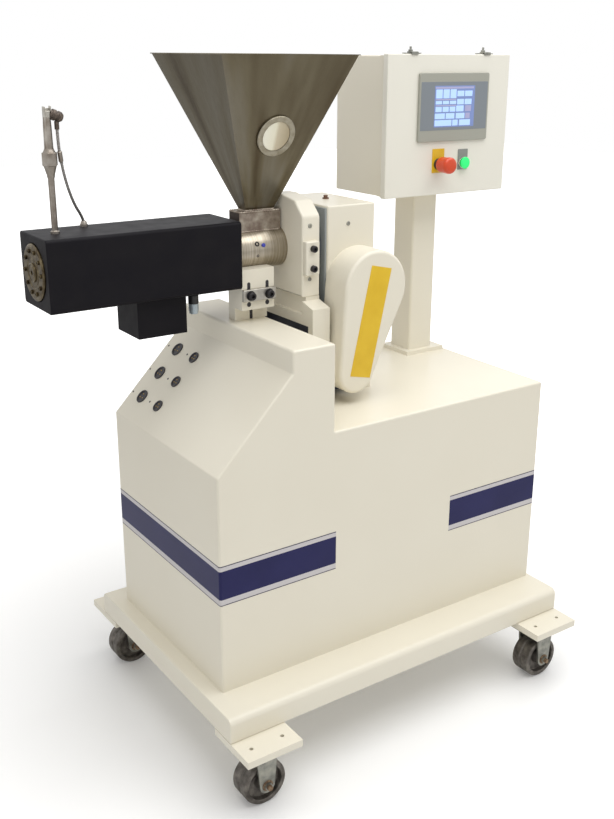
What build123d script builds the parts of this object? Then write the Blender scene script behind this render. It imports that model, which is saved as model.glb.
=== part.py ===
"""Small laboratory plastic extruder on a castered base, in millimetres, +Z up.

X runs along the barrel, with the nozzle at -X and the drive at +X.  The long painted
front is -Y.  The origin is on the floor, under the middle of the machine.
"""
import math
import os

from build123d import *

os.makedirs("parts", exist_ok=True)

# Casters: 4 inch wheels, 142 mm from floor to mounting face
caster_h = 142.0
wheel_r = 50.8
wheel_w = 51.0
wheel_groove_w = 7.0
wheel_groove_d = 3.0
wheel_web_t = 22.0
wheel_rim_t = 11.0
wheel_hub_r = 17.0
axle_r = 6.0
axle_nut_r = 9.5
axle_nut_t = 7.0
fork_t = 5.0
fork_gap = 3.5
fork_crown_t = 8.0
fork_crown_l = 62.0
fork_foot_r = 18.0
fork_lean = 6.0
plate_t = 7.0
plate_l = 118.0
plate_w = 100.0
plate_corner_r = 10.0
running_clear = 0.1
hub_gap = 0.8

# Caster pads welded under the base
pad_t = 16.0
pad_l = 132.0
pad_out = 69.0
pad_in = 67.0
pad_hole_r = 4.5
pad_hole_inset = 33.0
pad_hole_out = 35.0

# Base pan
base_l = 958.0
base_w = 638.0
base_h = 56.0
base_round = 15.0

# Cabinet
cab_left = -398.5
cab_front = -225.0
cab_l = 914.0
cab_w = 484.0
base_overhang = 36.0
slope_z = 494.0
slope_run = 181.0
slope_top_z = 681.0
platform_z = 729.0
platform_run = 106.0
deck_z = 534.0
cab_edge_r = 6.0

# Heater sockets on the sloped panel
socket_pitch = 68.0
socket_first = 63.0
socket_count = 3
socket_big_r = 14.5
socket_small_r = 12.0
socket_big_y = 200.0
socket_small_y = 119.5
socket_proud = 2.5
socket_depth = 8.0
socket_dish = 4.0
socket_lip = 2.0

# Barrel line
axis_y = 79.0
axis_z = 1096.0
cover_left = 226.0
cover_l = 429.0
cover_side = 146.0
cover_round = 7.0
barrel_r = 30.0
flange_r = 57.0
flange_proud = 4.0
flange_clear = 1.0
flange_recess = 12.0
flange_bevel = 2.0
nozzle_hub_r = 19.0
nozzle_hub_t = 3.0
nozzle_bore_r = 5.0
flange_bolt_ring = 44.0
flange_bolt_r = 4.5
flange_bolt_h = 3.0
flange_bolt_count = 10

# Blower box under the barrel cover
blower_left = 36.0
blower_l = 113.0
blower_w = 104.0
blower_bottom = 941.0
blower_round = 2.0

# Melt probe standing on the cover
probe_in = 47.0
probe_r = 6.5
probe_foot_r = 9.0
probe_foot_h = 5.0
probe_nut_bottom = 1299.0
probe_nut_top = 1325.0
probe_nut_r = 16.0
probe_taper_h = 17.0
probe_head_bottom = 1376.0
probe_head_l = 32.0
probe_head_h = 33.0
probe_head_w = 20.0
probe_head_round = 4.0
probe_cable_r = 3.0
cable_arc_share = 0.45
# Corners of the cable as shares of its way from the head to the gland, in x, y and down
cable_course = [
    (0.0, 0.0, 0.0),
    (0.0, 0.0, 0.15),
    (0.07, 0.11, 0.30),
    (0.22, 0.30, 0.50),
    (0.42, 0.48, 0.68),
    (0.66, 0.70, 0.83),
    (0.91, 0.925, 0.93),
    (1.0, 1.0, 1.0),
]
gland_along = 81.0
gland_across = 52.0
gland_r = 8.0
gland_h = 8.0
gland_gap = 1.45

# Feed throat, its support and the hopper
throat_r = 46.0
hopper_shift = 13.5
neck_l = 105.0
neck_shift = -3.5
neck_w = 44.0
neck_top = 1180.0
neck_sink = 4.0
feed_slot_l = 64.0
feed_slot_w = 22.0
feed_slot_depth = 60.0
block_l = 83.0
block_front = 16.0
block_back = 74.0
block_shift = -22.5
block_bottom = 972.0
block_top = 1062.0
foot_front = 47.0
foot_slot_w = 8.0
foot_slot_d = 12.0
clamp_t = 9.0
clamp_h = 27.0
clamp_z = 992.0
clamp_round = 2.0
clamp_bolt_r = 9.0
clamp_bolt_h = 10.0
clamp_bolt_pitch = 47.0
clamp_bolt_hex = 4.5
hopper_top_z = 1508.0
hopper_top_l = 334.0
hopper_top_w = 306.0
hopper_bottom_l = 70.0
hopper_bottom_w = 28.0
hopper_wall = 2.0
hopper_lip = 2.0
hopper_lip_t = 2.0
glass_r = 33.0
glass_ring_r = 46.0
glass_ring_t = 5.0
glass_t = 3.0
glass_up = 178.0
glass_cut = 12.0
glass_round = 1.5

# Gearbox: thrust housing, reducer and their stand
thrust_left = 337.0
thrust_l = 46.0
gear_half_w = 104.0
thrust_top = 1213.0
thrust_shoulder_z = 1204.0
thrust_side_z = 1172.0
thrust_top_half = 15.0
thrust_shoulder_half = 72.0
thrust_bottom = 993.0
gear_edge_r = 4.0
reducer_gap = 22.0
reducer_l = 131.0
reducer_top = 1190.0
reducer_bottom = 915.0
reducer_neck_r = 84.0
bridge_half_w = 146.0
bridge_leg_t = 18.0
bridge_top = 955.0
bridge_open_z = 932.0
bridge_recess = 10.0
bridge_flare = 12.0
bridge_shoulder_z = 985.0
rear_stand_t = 26.0
clamp_boss_l = 36.0
clamp_boss_h = 76.0
clamp_boss_t = 14.0
clamp_boss_z = 1081.0
clamp_boss_in = 8.5
side_bolt_r = 7.5
side_bolt_h = 9.0
side_bolt_pitch = 44.0

# Belt guard and motor behind it
guard_t = 80.0
guard_top_x = 485.0
guard_top_z = 1012.0
guard_top_r = 85.0
guard_low_x = 434.0
guard_low_z = 821.0
guard_low_r = 48.0
guard_round = 8.0
label_w = 57.0
label_h = 254.0
label_t = 0.6
label_x = 469.5
label_z = 935.0
label_tilt = 12.5
motor_r = 64.0
motor_l = 210.0
motor_foot_w = 96.0
motor_round = 10.0
motor_foot_t = 8.0
motor_foot_l = 120.0

# Post and control box
post_side = 78.0
post_left = 795.0
post_front = 146.0
post_plate_t = 10.0
post_plate_left = 778.0
post_plate_l = 125.0
post_round = 6.0
post_plate_w = 108.0
post_wall = 5.0
box_left = 639.0
box_l = 391.0
box_front = 71.0
box_d = 205.0
box_bottom = 1181.0
box_top = 1506.0
door_t = 17.0
door_over = 4.0
door_gap = 0.5
door_round = 3.0
hinge_r = 2.0
hinge_leaf = 14.0
hinge_leaf_t = 1.0
clamp_pitch = 232.0
door_clamp_l = 46.0
clamp_set = 3.0
door_clamp_h = 5.0
door_clamp_d = 16.0
hmi_l = 225.0
hmi_h = 161.0
hmi_t = 7.0
hmi_round = 5.0
hmi_z = 1387.0
hmi_x = 206.0
screen_l = 130.0
screen_h = 97.0
screen_t = 0.8
screen_up = 2.0
screen_set = 2.0
stop_plate_up = 8.0
start_plate_up = 8.0
estop_x = 165.0
estop_z = 1252.0
estop_plate_l = 38.0
estop_plate_h = 58.0
button_plate_t = 1.5
estop_neck_r = 14.0
estop_neck_l = 4.0
estop_head_r = 20.0
estop_head_l = 40.0
estop_head_round = 9.0
estop_travel = 6.0
start_x = 246.0
start_z = 1252.0
start_plate_l = 32.0
start_plate_h = 50.0
start_ring_r = 15.0
start_ring_l = 5.5
start_cap_r = 11.5
start_lens_r = 14.5
start_lens_t = 4.0
start_travel = 3.0
button_shaft_r = 6.0
button_clear = 0.4
button_stop_gap = 0.5
button_shaft_gap = 0.5
button_well = 8.0

# Levels above the floor, and places worked out from the sizes
base_z = caster_h + pad_t
top_z = base_z + base_h
deck = top_z + deck_z
platform = top_z + platform_z
cab_right = cab_left + cab_l
cab_back = cab_front + cab_w
base_left = cab_left - base_overhang
cover_x0 = cab_left - cover_left
cover_x1 = cover_x0 + cover_l
thrust_x0 = cab_left + thrust_left
thrust_x1 = thrust_x0 + thrust_l
throat_x0 = cover_x1
throat_x1 = thrust_x0
throat_mid = (throat_x0 + throat_x1) / 2
hopper_x = throat_mid + hopper_shift
reducer_x0 = thrust_x1 + reducer_gap
reducer_x1 = reducer_x0 + reducer_l
gear_front = axis_y - gear_half_w
gear_back = axis_y + gear_half_w
guard_back = gear_front
guard_front = guard_back - guard_t


def save(piece, label):
    """Names a finished piece and writes it to its own file."""
    piece.label = label
    export_step(piece, "parts/" + label + ".step")


# Base pan: a folded box with rounded long edges
with BuildPart() as base_pan:
    with BuildSketch(Plane.YZ.offset(base_left)):
        with Locations((0, base_z + base_h / 2)):
            Rectangle(base_w, base_h)
    extrude(amount=base_l)
    long_edges = base_pan.edges().filter_by(Axis.X).group_by(Axis.Z)[-1]
    fillet(long_edges, base_round)
save(base_pan.part, "base_pan")

# Casters: the wheel of each stands straight under the middle of its pad
pad_mid_y = base_w / 2 + (pad_out - pad_in) / 2
caster_left_x = base_left + pad_l / 2
caster_right_x = base_left + base_l - pad_l / 2
casters = {
    "front_left": (caster_left_x, -pad_mid_y),
    "front_right": (caster_right_x, -pad_mid_y),
    "rear_left": (caster_left_x, pad_mid_y),
    "rear_right": (caster_right_x, pad_mid_y),
}
crown_top = caster_h - plate_t
fork_inner = wheel_w / 2 + fork_gap
fork_outer = fork_inner + fork_t
hub_half = fork_inner - hub_gap
web_inner_r = wheel_r - wheel_rim_t
pad_hole_dx = pad_l / 2 - pad_hole_inset + pad_hole_r

with BuildPart() as pads:
    with BuildSketch(Plane.XY.offset(caster_h)):
        for caster_x, caster_y in casters.values():
            hole_y = math.copysign(base_w / 2 + pad_out - pad_hole_out, caster_y)
            with Locations((caster_x, caster_y)):
                Rectangle(pad_l, pad_out + pad_in)
            with Locations((caster_x - pad_hole_dx, hole_y), (caster_x + pad_hole_dx, hole_y)):
                Circle(pad_hole_r, mode=Mode.SUBTRACT)
    extrude(amount=pad_t)
save(pads.part, "caster_pads")

with BuildPart() as plates:
    with BuildSketch(Plane.XY.offset(crown_top)):
        with Locations(*casters.values()):
            RectangleRounded(plate_l, plate_w, plate_corner_r)
    extrude(amount=plate_t)
save(plates.part, "caster_plates")

# Fixed forks: a crown under each plate, two legs, and the axle with its nuts
with BuildPart() as forks:
    for caster_x, caster_y in casters.values():
        with BuildSketch(Plane.XY.offset(crown_top)):
            with Locations((caster_x, caster_y)):
                RectangleRounded(fork_crown_l, 2 * fork_outer, fork_t)
        extrude(amount=-fork_crown_t)
        axle_at = (caster_x, wheel_r)
        for leg_front in (caster_y + fork_outer, caster_y - fork_inner):
            with BuildSketch(Plane.XZ.offset(-leg_front)):
                with Locations((caster_x, crown_top - fork_crown_t / 2)):
                    Rectangle(fork_crown_l - 2 * fork_lean, fork_crown_t)
                with Locations(axle_at):
                    Circle(fork_foot_r)
                make_hull()
            extrude(amount=fork_t)
        with BuildSketch(Plane.XZ.offset(-caster_y - fork_outer - axle_nut_t)):
            with Locations(axle_at):
                Circle(axle_r)
        extrude(amount=2 * (fork_outer + axle_nut_t))
        for nut_front in (caster_y + fork_outer + axle_nut_t, caster_y - fork_outer):
            with BuildSketch(Plane.XZ.offset(-nut_front)):
                with Locations(axle_at):
                    RegularPolygon(axle_nut_r, 6)
            extrude(amount=axle_nut_t)
save(forks.part, "caster_forks")

# Wheel profile, width against radius, spun about the axle
for corner, (caster_x, caster_y) in casters.items():
    with BuildPart() as wheel:
        hub_at = (caster_x, caster_y, wheel_r)
        with BuildSketch(Plane(origin=hub_at, x_dir=(0, 1, 0), z_dir=(1, 0, 0))):
            with BuildLine():
                Polyline(
                    (-hub_half, axle_r + running_clear),
                    (hub_half, axle_r + running_clear),
                    (hub_half, wheel_hub_r),
                    (wheel_web_t / 2, wheel_hub_r + wheel_groove_d),
                    (wheel_web_t / 2, web_inner_r - wheel_groove_d),
                    (wheel_w / 2, web_inner_r),
                    (wheel_w / 2, wheel_r - wheel_groove_d),
                    (wheel_w / 2 - wheel_groove_d, wheel_r),
                    (wheel_groove_w / 2, wheel_r),
                    (0, wheel_r - wheel_groove_d),
                    (-wheel_groove_w / 2, wheel_r),
                    (wheel_groove_d - wheel_w / 2, wheel_r),
                    (-wheel_w / 2, wheel_r - wheel_groove_d),
                    (-wheel_w / 2, web_inner_r),
                    (-wheel_web_t / 2, web_inner_r - wheel_groove_d),
                    (-wheel_web_t / 2, wheel_hub_r + wheel_groove_d),
                    (-hub_half, wheel_hub_r),
                    close=True,
                )
            make_face()
        revolve(axis=Axis(hub_at, (0, 1, 0)))
    save(wheel.part, "caster_wheel_" + corner)

# Cabinet: welded sheet housing with a sloped end, a riser, a platform and a rear deck
riser_x = cab_left + slope_run
platform_x1 = riser_x + platform_run
slope_low = top_z + slope_z
slope_high = top_z + slope_top_z
with BuildPart() as cabinet:
    with BuildSketch(Plane.XZ.offset(-cab_back)):
        with BuildLine():
            Polyline(
                (cab_left, top_z),
                (cab_right, top_z),
                (cab_right, deck),
                (platform_x1, deck),
                (platform_x1, platform),
                (riser_x, platform),
                (riser_x, slope_high),
                (cab_left, slope_low),
                close=True,
            )
        make_face()
    extrude(amount=cab_w)
    upright_edges = cabinet.edges().filter_by(Axis.Z).filter_by(lambda e: e.length > cab_edge_r * 10)
    outer_uprights = upright_edges.group_by(Axis.X)[0] + upright_edges.group_by(Axis.X)[-1]
    fillet(outer_uprights, cab_edge_r)

# Sloped panel frame: x up the slope, y towards the back, z out of the panel
slope_angle = math.atan2(slope_top_z - slope_z, slope_run)
panel = Plane(
    origin=(cab_left, 0, slope_low),
    x_dir=(math.cos(slope_angle), 0, math.sin(slope_angle)),
    z_dir=(-math.sin(slope_angle), 0, math.cos(slope_angle)),
)
rows = [socket_first + row * socket_pitch for row in range(socket_count)]
big_spots = [(row, socket_big_y) for row in rows]
small_spots = [(row, socket_small_y) for row in rows]
with cabinet:
    with BuildSketch(panel):
        with Locations(*big_spots):
            Circle(socket_big_r)
        with Locations(*small_spots):
            Circle(socket_small_r)
    extrude(amount=-socket_depth, mode=Mode.SUBTRACT)
save(cabinet.part, "cabinet")

for label, spots, socket_r in (
    ("heater_sockets", big_spots, socket_big_r),
    ("sensor_sockets", small_spots, socket_small_r),
):
    with BuildPart() as sockets:
        with BuildSketch(panel.offset(-socket_depth)):
            with Locations(*spots):
                Circle(socket_r)
        extrude(amount=socket_depth)
        with BuildSketch(panel):
            with Locations(*spots):
                Circle(socket_r + socket_lip)
        extrude(amount=socket_proud)
        with BuildSketch(panel.offset(socket_proud)):
            with Locations(*spots):
                Circle(socket_r - socket_lip)
        extrude(amount=-socket_dish, mode=Mode.SUBTRACT)
    save(sockets.part, label)

# Barrel cover: black square housing around the barrel, open at the nozzle end
across = Plane(origin=(cover_x0, axis_y, axis_z), x_dir=(0, 1, 0), z_dir=(1, 0, 0))
with BuildPart() as cover:
    with BuildSketch(across):
        Rectangle(cover_side, cover_side)
    extrude(amount=cover_l)
    fillet(cover.edges().filter_by(Axis.X), cover_round)
    with BuildSketch(across):
        Circle(barrel_r)
    extrude(amount=cover_l, mode=Mode.SUBTRACT)
    with BuildSketch(across):
        Circle(flange_r + flange_clear)
    extrude(amount=flange_recess, mode=Mode.SUBTRACT)
save(cover.part, "barrel_cover")

with BuildPart() as barrel:
    with BuildSketch(across.offset(flange_recess)):
        Circle(barrel_r)
    extrude(amount=cover_l - flange_recess)
save(barrel.part, "barrel")

with BuildPart() as die_flange:
    with BuildSketch(across.offset(-flange_proud)):
        Circle(flange_r)
    extrude(amount=flange_proud + flange_recess)
    chamfer(die_flange.edges().group_by(Axis.X)[0], flange_bevel)
    with BuildSketch(across.offset(-flange_proud)):
        Circle(nozzle_hub_r)
    extrude(amount=-nozzle_hub_t)
    with BuildSketch(across.offset(-flange_proud - nozzle_hub_t)):
        Circle(nozzle_bore_r)
    extrude(amount=flange_recess, mode=Mode.SUBTRACT)
save(die_flange.part, "die_flange")

with BuildPart() as flange_bolts:
    with BuildSketch(across.offset(-flange_proud - flange_bolt_h)):
        with PolarLocations(flange_bolt_ring, flange_bolt_count):
            Circle(flange_bolt_r)
    extrude(amount=flange_bolt_h)
save(flange_bolts.part, "flange_bolts")

# Blower box hung under the cover
cover_bottom = axis_z - cover_side / 2
cover_top = axis_z + cover_side / 2
blower_x = cab_left - blower_left + blower_l / 2
with BuildPart() as blower:
    with BuildSketch(Plane.XY.offset(blower_bottom)):
        with Locations((blower_x, axis_y)):
            Rectangle(blower_l, blower_w)
    extrude(amount=cover_bottom - blower_bottom)
    fillet(blower.edges().filter_by(Axis.Z), blower_round)
save(blower.part, "blower_box")

# Melt probe: stem, hexagon, tube, and the head that its cable leaves
probe_x = cover_x0 + probe_in
probe_axis = (probe_x, axis_y)
with BuildPart() as probe:
    with BuildSketch(Plane.XY.offset(cover_top)):
        with Locations(probe_axis):
            Circle(probe_foot_r)
    extrude(amount=probe_foot_h)
    with BuildSketch(Plane.XY.offset(cover_top)):
        with Locations(probe_axis):
            Circle(probe_r)
    extrude(amount=probe_head_bottom - cover_top)
    with BuildSketch(Plane.XY.offset(probe_nut_bottom)):
        with Locations(probe_axis):
            RegularPolygon(probe_nut_r, 6)
    extrude(amount=probe_nut_top - probe_nut_bottom)
    with BuildSketch(Plane.XY.offset(probe_nut_bottom - probe_taper_h)):
        with Locations(probe_axis):
            Circle(probe_r)
    with BuildSketch(Plane.XY.offset(probe_nut_bottom)):
        with Locations(probe_axis):
            Circle(probe_nut_r * math.cos(math.pi / 6))
    loft()
save(probe.part, "melt_probe")

with BuildPart() as probe_head:
    with BuildSketch(Plane.XY.offset(probe_head_bottom)):
        with Locations((probe_x + probe_head_l / 2 - probe_r, axis_y)):
            RectangleRounded(probe_head_l, probe_head_w, probe_head_round)
    extrude(amount=probe_head_h)
    fillet(probe_head.edges().group_by(Axis.Z)[-1], probe_head_round / 2)
save(probe_head.part, "probe_head")

# Probe cable: from under the head down to a gland near the back edge of the cover
cable_exit = (probe_x + probe_head_l - 2 * probe_r, axis_y, probe_head_bottom)
gland_at = (probe_x + gland_along, axis_y + gland_across)
cable_end = (gland_at[0], gland_at[1], cover_top + gland_h + gland_gap)
cable_points = [
    tuple(a + share * (b - a) for a, b, share in zip(cable_exit, cable_end, shares))
    for shares in cable_course
]
runs = [math.dist(a, b) for a, b in zip(cable_points, cable_points[1:])]
radii = []
for i in range(1, len(cable_points) - 1):
    arrive = Vector(*cable_points[i]) - Vector(*cable_points[i - 1])
    leave = Vector(*cable_points[i + 1]) - Vector(*cable_points[i])
    half_turn = math.radians(arrive.get_angle(leave)) / 2
    radii.append(cable_arc_share * min(runs[i - 1], runs[i]) / math.tan(half_turn))
print("cable radii", [round(r, 1) for r in radii], "runs", [round(r, 1) for r in runs])
with BuildPart() as cable:
    with BuildLine() as cable_path:
        FilletPolyline(*cable_points, radius=radii)
    with BuildSketch(Plane(origin=cable_path.line @ 0, z_dir=cable_path.line % 0)):
        Circle(probe_cable_r)
    sweep(path=cable_path.line)
cable_length = sum(edge.length for edge in cable_path.edges())
print("cable length", round(cable_length, 1))
save(cable.part, "probe_cable")

with BuildPart() as gland:
    with BuildSketch(Plane.XY.offset(cover_top)):
        with Locations(gland_at):
            Circle(gland_r)
    extrude(amount=gland_h)
save(gland.part, "cable_gland")

# Feed throat: a round steel body between the cover and the gearbox, slotted on top
with BuildPart() as throat:
    with BuildSketch(across.offset(cover_l)):
        Circle(throat_r)
    extrude(amount=throat_x1 - throat_x0)
    with BuildSketch(Plane.XY.offset(axis_z + throat_r)):
        with Locations((hopper_x, axis_y)):
            SlotOverall(feed_slot_l, feed_slot_w)
    extrude(amount=-feed_slot_depth, mode=Mode.SUBTRACT)
neck_bottom = axis_z + math.sqrt(throat_r**2 - (neck_w / 2) ** 2) - neck_sink
with BuildPart() as neck:
    with BuildSketch(Plane.XY.offset(neck_bottom)):
        with Locations((hopper_x + neck_shift, axis_y)):
            Rectangle(neck_l, neck_w)
    extrude(amount=neck_top - neck_bottom)
    add(throat.part, mode=Mode.SUBTRACT)
    with BuildSketch(Plane.XY.offset(neck_top)):
        with Locations((hopper_x, axis_y)):
            SlotOverall(feed_slot_l, feed_slot_w)
    extrude(amount=-(neck_top - neck_bottom), mode=Mode.SUBTRACT)
save(throat.part, "feed_throat")
save(neck.part, "hopper_neck")

# Throat support: an upper block, the foot below it, and a bar clamped across with two bolts
block_mid_y = (block_front + block_back) / 2
with BuildPart() as block:
    with BuildSketch(Plane.XY.offset(block_bottom)):
        with Locations((throat_mid + block_shift, block_mid_y)):
            Rectangle(block_l, block_back - block_front)
    extrude(amount=block_top - block_bottom)
    with BuildSketch(across.offset(cover_l)):
        Circle(throat_r)
    extrude(amount=throat_x1 - throat_x0, mode=Mode.SUBTRACT)
block_x = throat_mid + block_shift
save(block.part, "throat_block")

with BuildPart() as foot:
    with BuildSketch(Plane.XY.offset(platform)):
        with Locations((block_x, (foot_front + block_back) / 2)):
            Rectangle(block_l, block_back - foot_front)
        with Locations((block_x, foot_front)):
            Rectangle(foot_slot_w, foot_slot_d, mode=Mode.SUBTRACT)
    extrude(amount=block_bottom - platform)
save(foot.part, "throat_foot")

with BuildPart() as clamp_bar:
    with BuildSketch(Plane.XZ.offset(-block_front)):
        with Locations((block_x, clamp_z + clamp_h / 2)):
            Rectangle(block_l, clamp_h)
    extrude(amount=clamp_t)
    fillet(clamp_bar.edges().filter_by(Axis.X), clamp_round)
save(clamp_bar.part, "clamp_bar")

with BuildPart() as clamp_bolts:
    with BuildSketch(Plane.XZ.offset(clamp_t - block_front)):
        with Locations((block_x, clamp_z + clamp_h / 2)):
            with GridLocations(clamp_bolt_pitch, 0, 2, 1):
                Circle(clamp_bolt_r)
    extrude(amount=clamp_bolt_h)
    with BuildSketch(Plane.XZ.offset(clamp_t + clamp_bolt_h - block_front)):
        with Locations((block_x, clamp_z + clamp_h / 2)):
            with GridLocations(clamp_bolt_pitch, 0, 2, 1):
                RegularPolygon(clamp_bolt_hex, 6)
    extrude(amount=-clamp_bolt_h / 2, mode=Mode.SUBTRACT)
save(clamp_bolts.part, "clamp_bolts")

# Hopper: a thin four-sided funnel with a turned rim and a round sight glass
with BuildPart() as hopper:
    with BuildSketch(Plane.XY.offset(neck_top)):
        with Locations((hopper_x, axis_y)):
            Rectangle(hopper_bottom_l, hopper_bottom_w)
    with BuildSketch(Plane.XY.offset(hopper_top_z)):
        with Locations((hopper_x, axis_y)):
            Rectangle(hopper_top_l - 2 * hopper_lip, hopper_top_w - 2 * hopper_lip)
    loft()
    with BuildSketch(Plane.XY.offset(hopper_top_z - hopper_lip_t)):
        with Locations((hopper_x, axis_y)):
            Rectangle(hopper_top_l, hopper_top_w)
    extrude(amount=hopper_lip_t)
    with BuildSketch(Plane.XY.offset(neck_top)):
        with Locations((hopper_x, axis_y)):
            Rectangle(hopper_bottom_l - 2 * hopper_wall, hopper_bottom_w - 2 * hopper_wall)
    with BuildSketch(Plane.XY.offset(hopper_top_z)):
        with Locations((hopper_x, axis_y)):
            inner_l = hopper_top_l - 2 * (hopper_lip + hopper_wall)
            inner_w = hopper_top_w - 2 * (hopper_lip + hopper_wall)
            Rectangle(inner_l, inner_w)
    loft(mode=Mode.SUBTRACT)

# Front wall frame: x along the machine, y up the wall, z out towards the viewer
hopper_rise = hopper_top_z - neck_top
wall_run = (hopper_top_w - 2 * hopper_lip - hopper_bottom_w) / 2
wall_slope = math.hypot(hopper_rise, wall_run)
wall_plane = Plane(
    origin=(hopper_x, axis_y - hopper_bottom_w / 2, neck_top),
    x_dir=(1, 0, 0),
    z_dir=(0, -hopper_rise / wall_slope, -wall_run / wall_slope),
)
with hopper:
    with BuildSketch(wall_plane):
        with Locations((0, glass_up)):
            Circle(glass_r)
    extrude(amount=-glass_cut, mode=Mode.SUBTRACT)

# The shell is cut along the inner faces of its front and back walls, and down the middle
for side, label in ((-1, "hopper_front"), (1, "hopper_back")):
    inner_face = Plane(
        origin=(hopper_x, axis_y + side * (hopper_bottom_w / 2 - hopper_wall), neck_top),
        x_dir=(1, 0, 0),
        z_dir=(0, side * hopper_rise / wall_slope, -wall_run / wall_slope),
    )
    with BuildPart() as wide_wall:
        add(hopper.part)
        split(bisect_by=inner_face, keep=Keep.TOP)
    save(wide_wall.part, label)
    with hopper:
        split(bisect_by=inner_face, keep=Keep.BOTTOM)
for keep, label in ((Keep.BOTTOM, "hopper_left"), (Keep.TOP, "hopper_right")):
    with BuildPart() as end_wall:
        add(hopper.part)
        split(bisect_by=Plane.YZ.offset(hopper_x), keep=keep)
    save(end_wall.part, label)

with BuildPart() as glass_ring:
    with BuildSketch(wall_plane):
        with Locations((0, glass_up)):
            Circle(glass_ring_r)
            Circle(glass_r, mode=Mode.SUBTRACT)
    extrude(amount=glass_ring_t)
    fillet(glass_ring.edges().filter_by(GeomType.CIRCLE).sort_by(SortBy.RADIUS)[-1:], glass_round)
save(glass_ring.part, "glass_ring")

with BuildPart() as sight_glass:
    with BuildSketch(wall_plane):
        with Locations((0, glass_up)):
            Circle(glass_r)
    extrude(amount=glass_t)
save(sight_glass.part, "sight_glass")

# Gearbox: a cast thrust housing in front, with chamfered shoulders
gear_face = Plane(origin=(thrust_x0, axis_y, 0), x_dir=(0, 1, 0), z_dir=(1, 0, 0))
thrust_outline = [
    (-gear_half_w, thrust_bottom),
    (-gear_half_w, thrust_side_z),
    (-thrust_shoulder_half, thrust_shoulder_z),
    (-thrust_top_half, thrust_top),
    (thrust_top_half, thrust_top),
    (thrust_shoulder_half, thrust_shoulder_z),
    (gear_half_w, thrust_side_z),
    (gear_half_w, thrust_bottom),
]
boss_x = thrust_x1 - clamp_boss_in - clamp_boss_l / 2
with BuildPart() as thrust:
    with BuildSketch(gear_face):
        with BuildLine():
            Polyline(*thrust_outline, close=True)
        make_face()
    extrude(amount=thrust_l)
    fillet(thrust.faces().sort_by(Axis.X)[0].edges(), gear_edge_r)
    with BuildSketch(Plane.XZ.offset(-gear_front)):
        with Locations((boss_x, clamp_boss_z)):
            RectangleRounded(clamp_boss_l, clamp_boss_h, gear_edge_r)
    extrude(amount=clamp_boss_t)
save(thrust.part, "thrust_housing")

with BuildPart() as side_bolts:
    with BuildSketch(Plane.XZ.offset(clamp_boss_t - gear_front)):
        with Locations((boss_x, clamp_boss_z)):
            with GridLocations(0, side_bolt_pitch, 1, 2):
                Circle(side_bolt_r)
    extrude(amount=side_bolt_h)
save(side_bolts.part, "housing_bolts")

# Bridge that carries the thrust housing from the deck
leg_inner = bridge_half_w - bridge_leg_t
with BuildPart() as bridge:
    with BuildSketch(gear_face):
        with BuildLine():
            Polyline(
                (-bridge_half_w, deck),
                (-bridge_half_w, bridge_shoulder_z - bridge_flare),
                (-gear_half_w, bridge_shoulder_z),
                (gear_half_w, bridge_shoulder_z),
                (bridge_half_w, bridge_shoulder_z - bridge_flare),
                (bridge_half_w, deck),
                (leg_inner, deck),
                (leg_inner, bridge_open_z),
                (-leg_inner, bridge_open_z),
                (-leg_inner, deck),
                close=True,
            )
        make_face()
    extrude(amount=thrust_l)
    with BuildSketch(gear_face.offset(bridge_recess)):
        with Locations((0, (bridge_shoulder_z + thrust_bottom) / 2)):
            Rectangle(2 * gear_half_w, thrust_bottom - bridge_shoulder_z)
    extrude(amount=thrust_l - bridge_recess)
    with BuildSketch(gear_face):
        with Locations((0, (bridge_top + bridge_shoulder_z) / 2)):
            Rectangle(2 * gear_half_w, bridge_shoulder_z - bridge_top)
    extrude(amount=bridge_recess, mode=Mode.SUBTRACT)
save(bridge.part, "gearbox_bridge")

# Reducer behind the thrust housing, with its round neck
with BuildPart() as reducer:
    with BuildSketch(Plane.XY.offset(reducer_bottom)):
        with Locations(((reducer_x0 + reducer_x1) / 2, axis_y)):
            Rectangle(reducer_l, 2 * gear_half_w)
    extrude(amount=reducer_top - reducer_bottom)
    fillet(reducer.edges(), gear_edge_r)
    with BuildSketch(across.offset(thrust_x1 - cover_x0)):
        Circle(reducer_neck_r)
    extrude(amount=reducer_gap + gear_edge_r)
save(reducer.part, "reducer")

with BuildPart() as rear_stand:
    with BuildSketch(Plane.XY.offset(deck)):
        with Locations((reducer_x1 - rear_stand_t / 2, axis_y)):
            Rectangle(rear_stand_t, 2 * gear_half_w - 2 * gear_edge_r)
    extrude(amount=reducer_bottom - deck)
save(rear_stand.part, "reducer_stand")

# Belt guard: a teardrop box over both pulleys
guard_top_at = (cab_left + guard_top_x, guard_top_z)
guard_low_at = (cab_left + guard_low_x, guard_low_z)
with BuildPart() as guard:
    with BuildSketch(Plane.XZ.offset(-guard_back)):
        with Locations(guard_top_at):
            Circle(guard_top_r)
        with Locations(guard_low_at):
            Circle(guard_low_r)
        make_hull()
    extrude(amount=guard_t)
    fillet(guard.faces().sort_by(Axis.Y)[0].edges(), guard_round)
save(guard.part, "belt_guard")

with BuildPart() as label:
    with BuildSketch(Plane.XZ.offset(-guard_front)):
        with Locations(Location((cab_left + label_x, label_z), -label_tilt)):
            Rectangle(label_w, label_h)
    extrude(amount=label_t)
save(label.part, "guard_plate")

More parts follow.
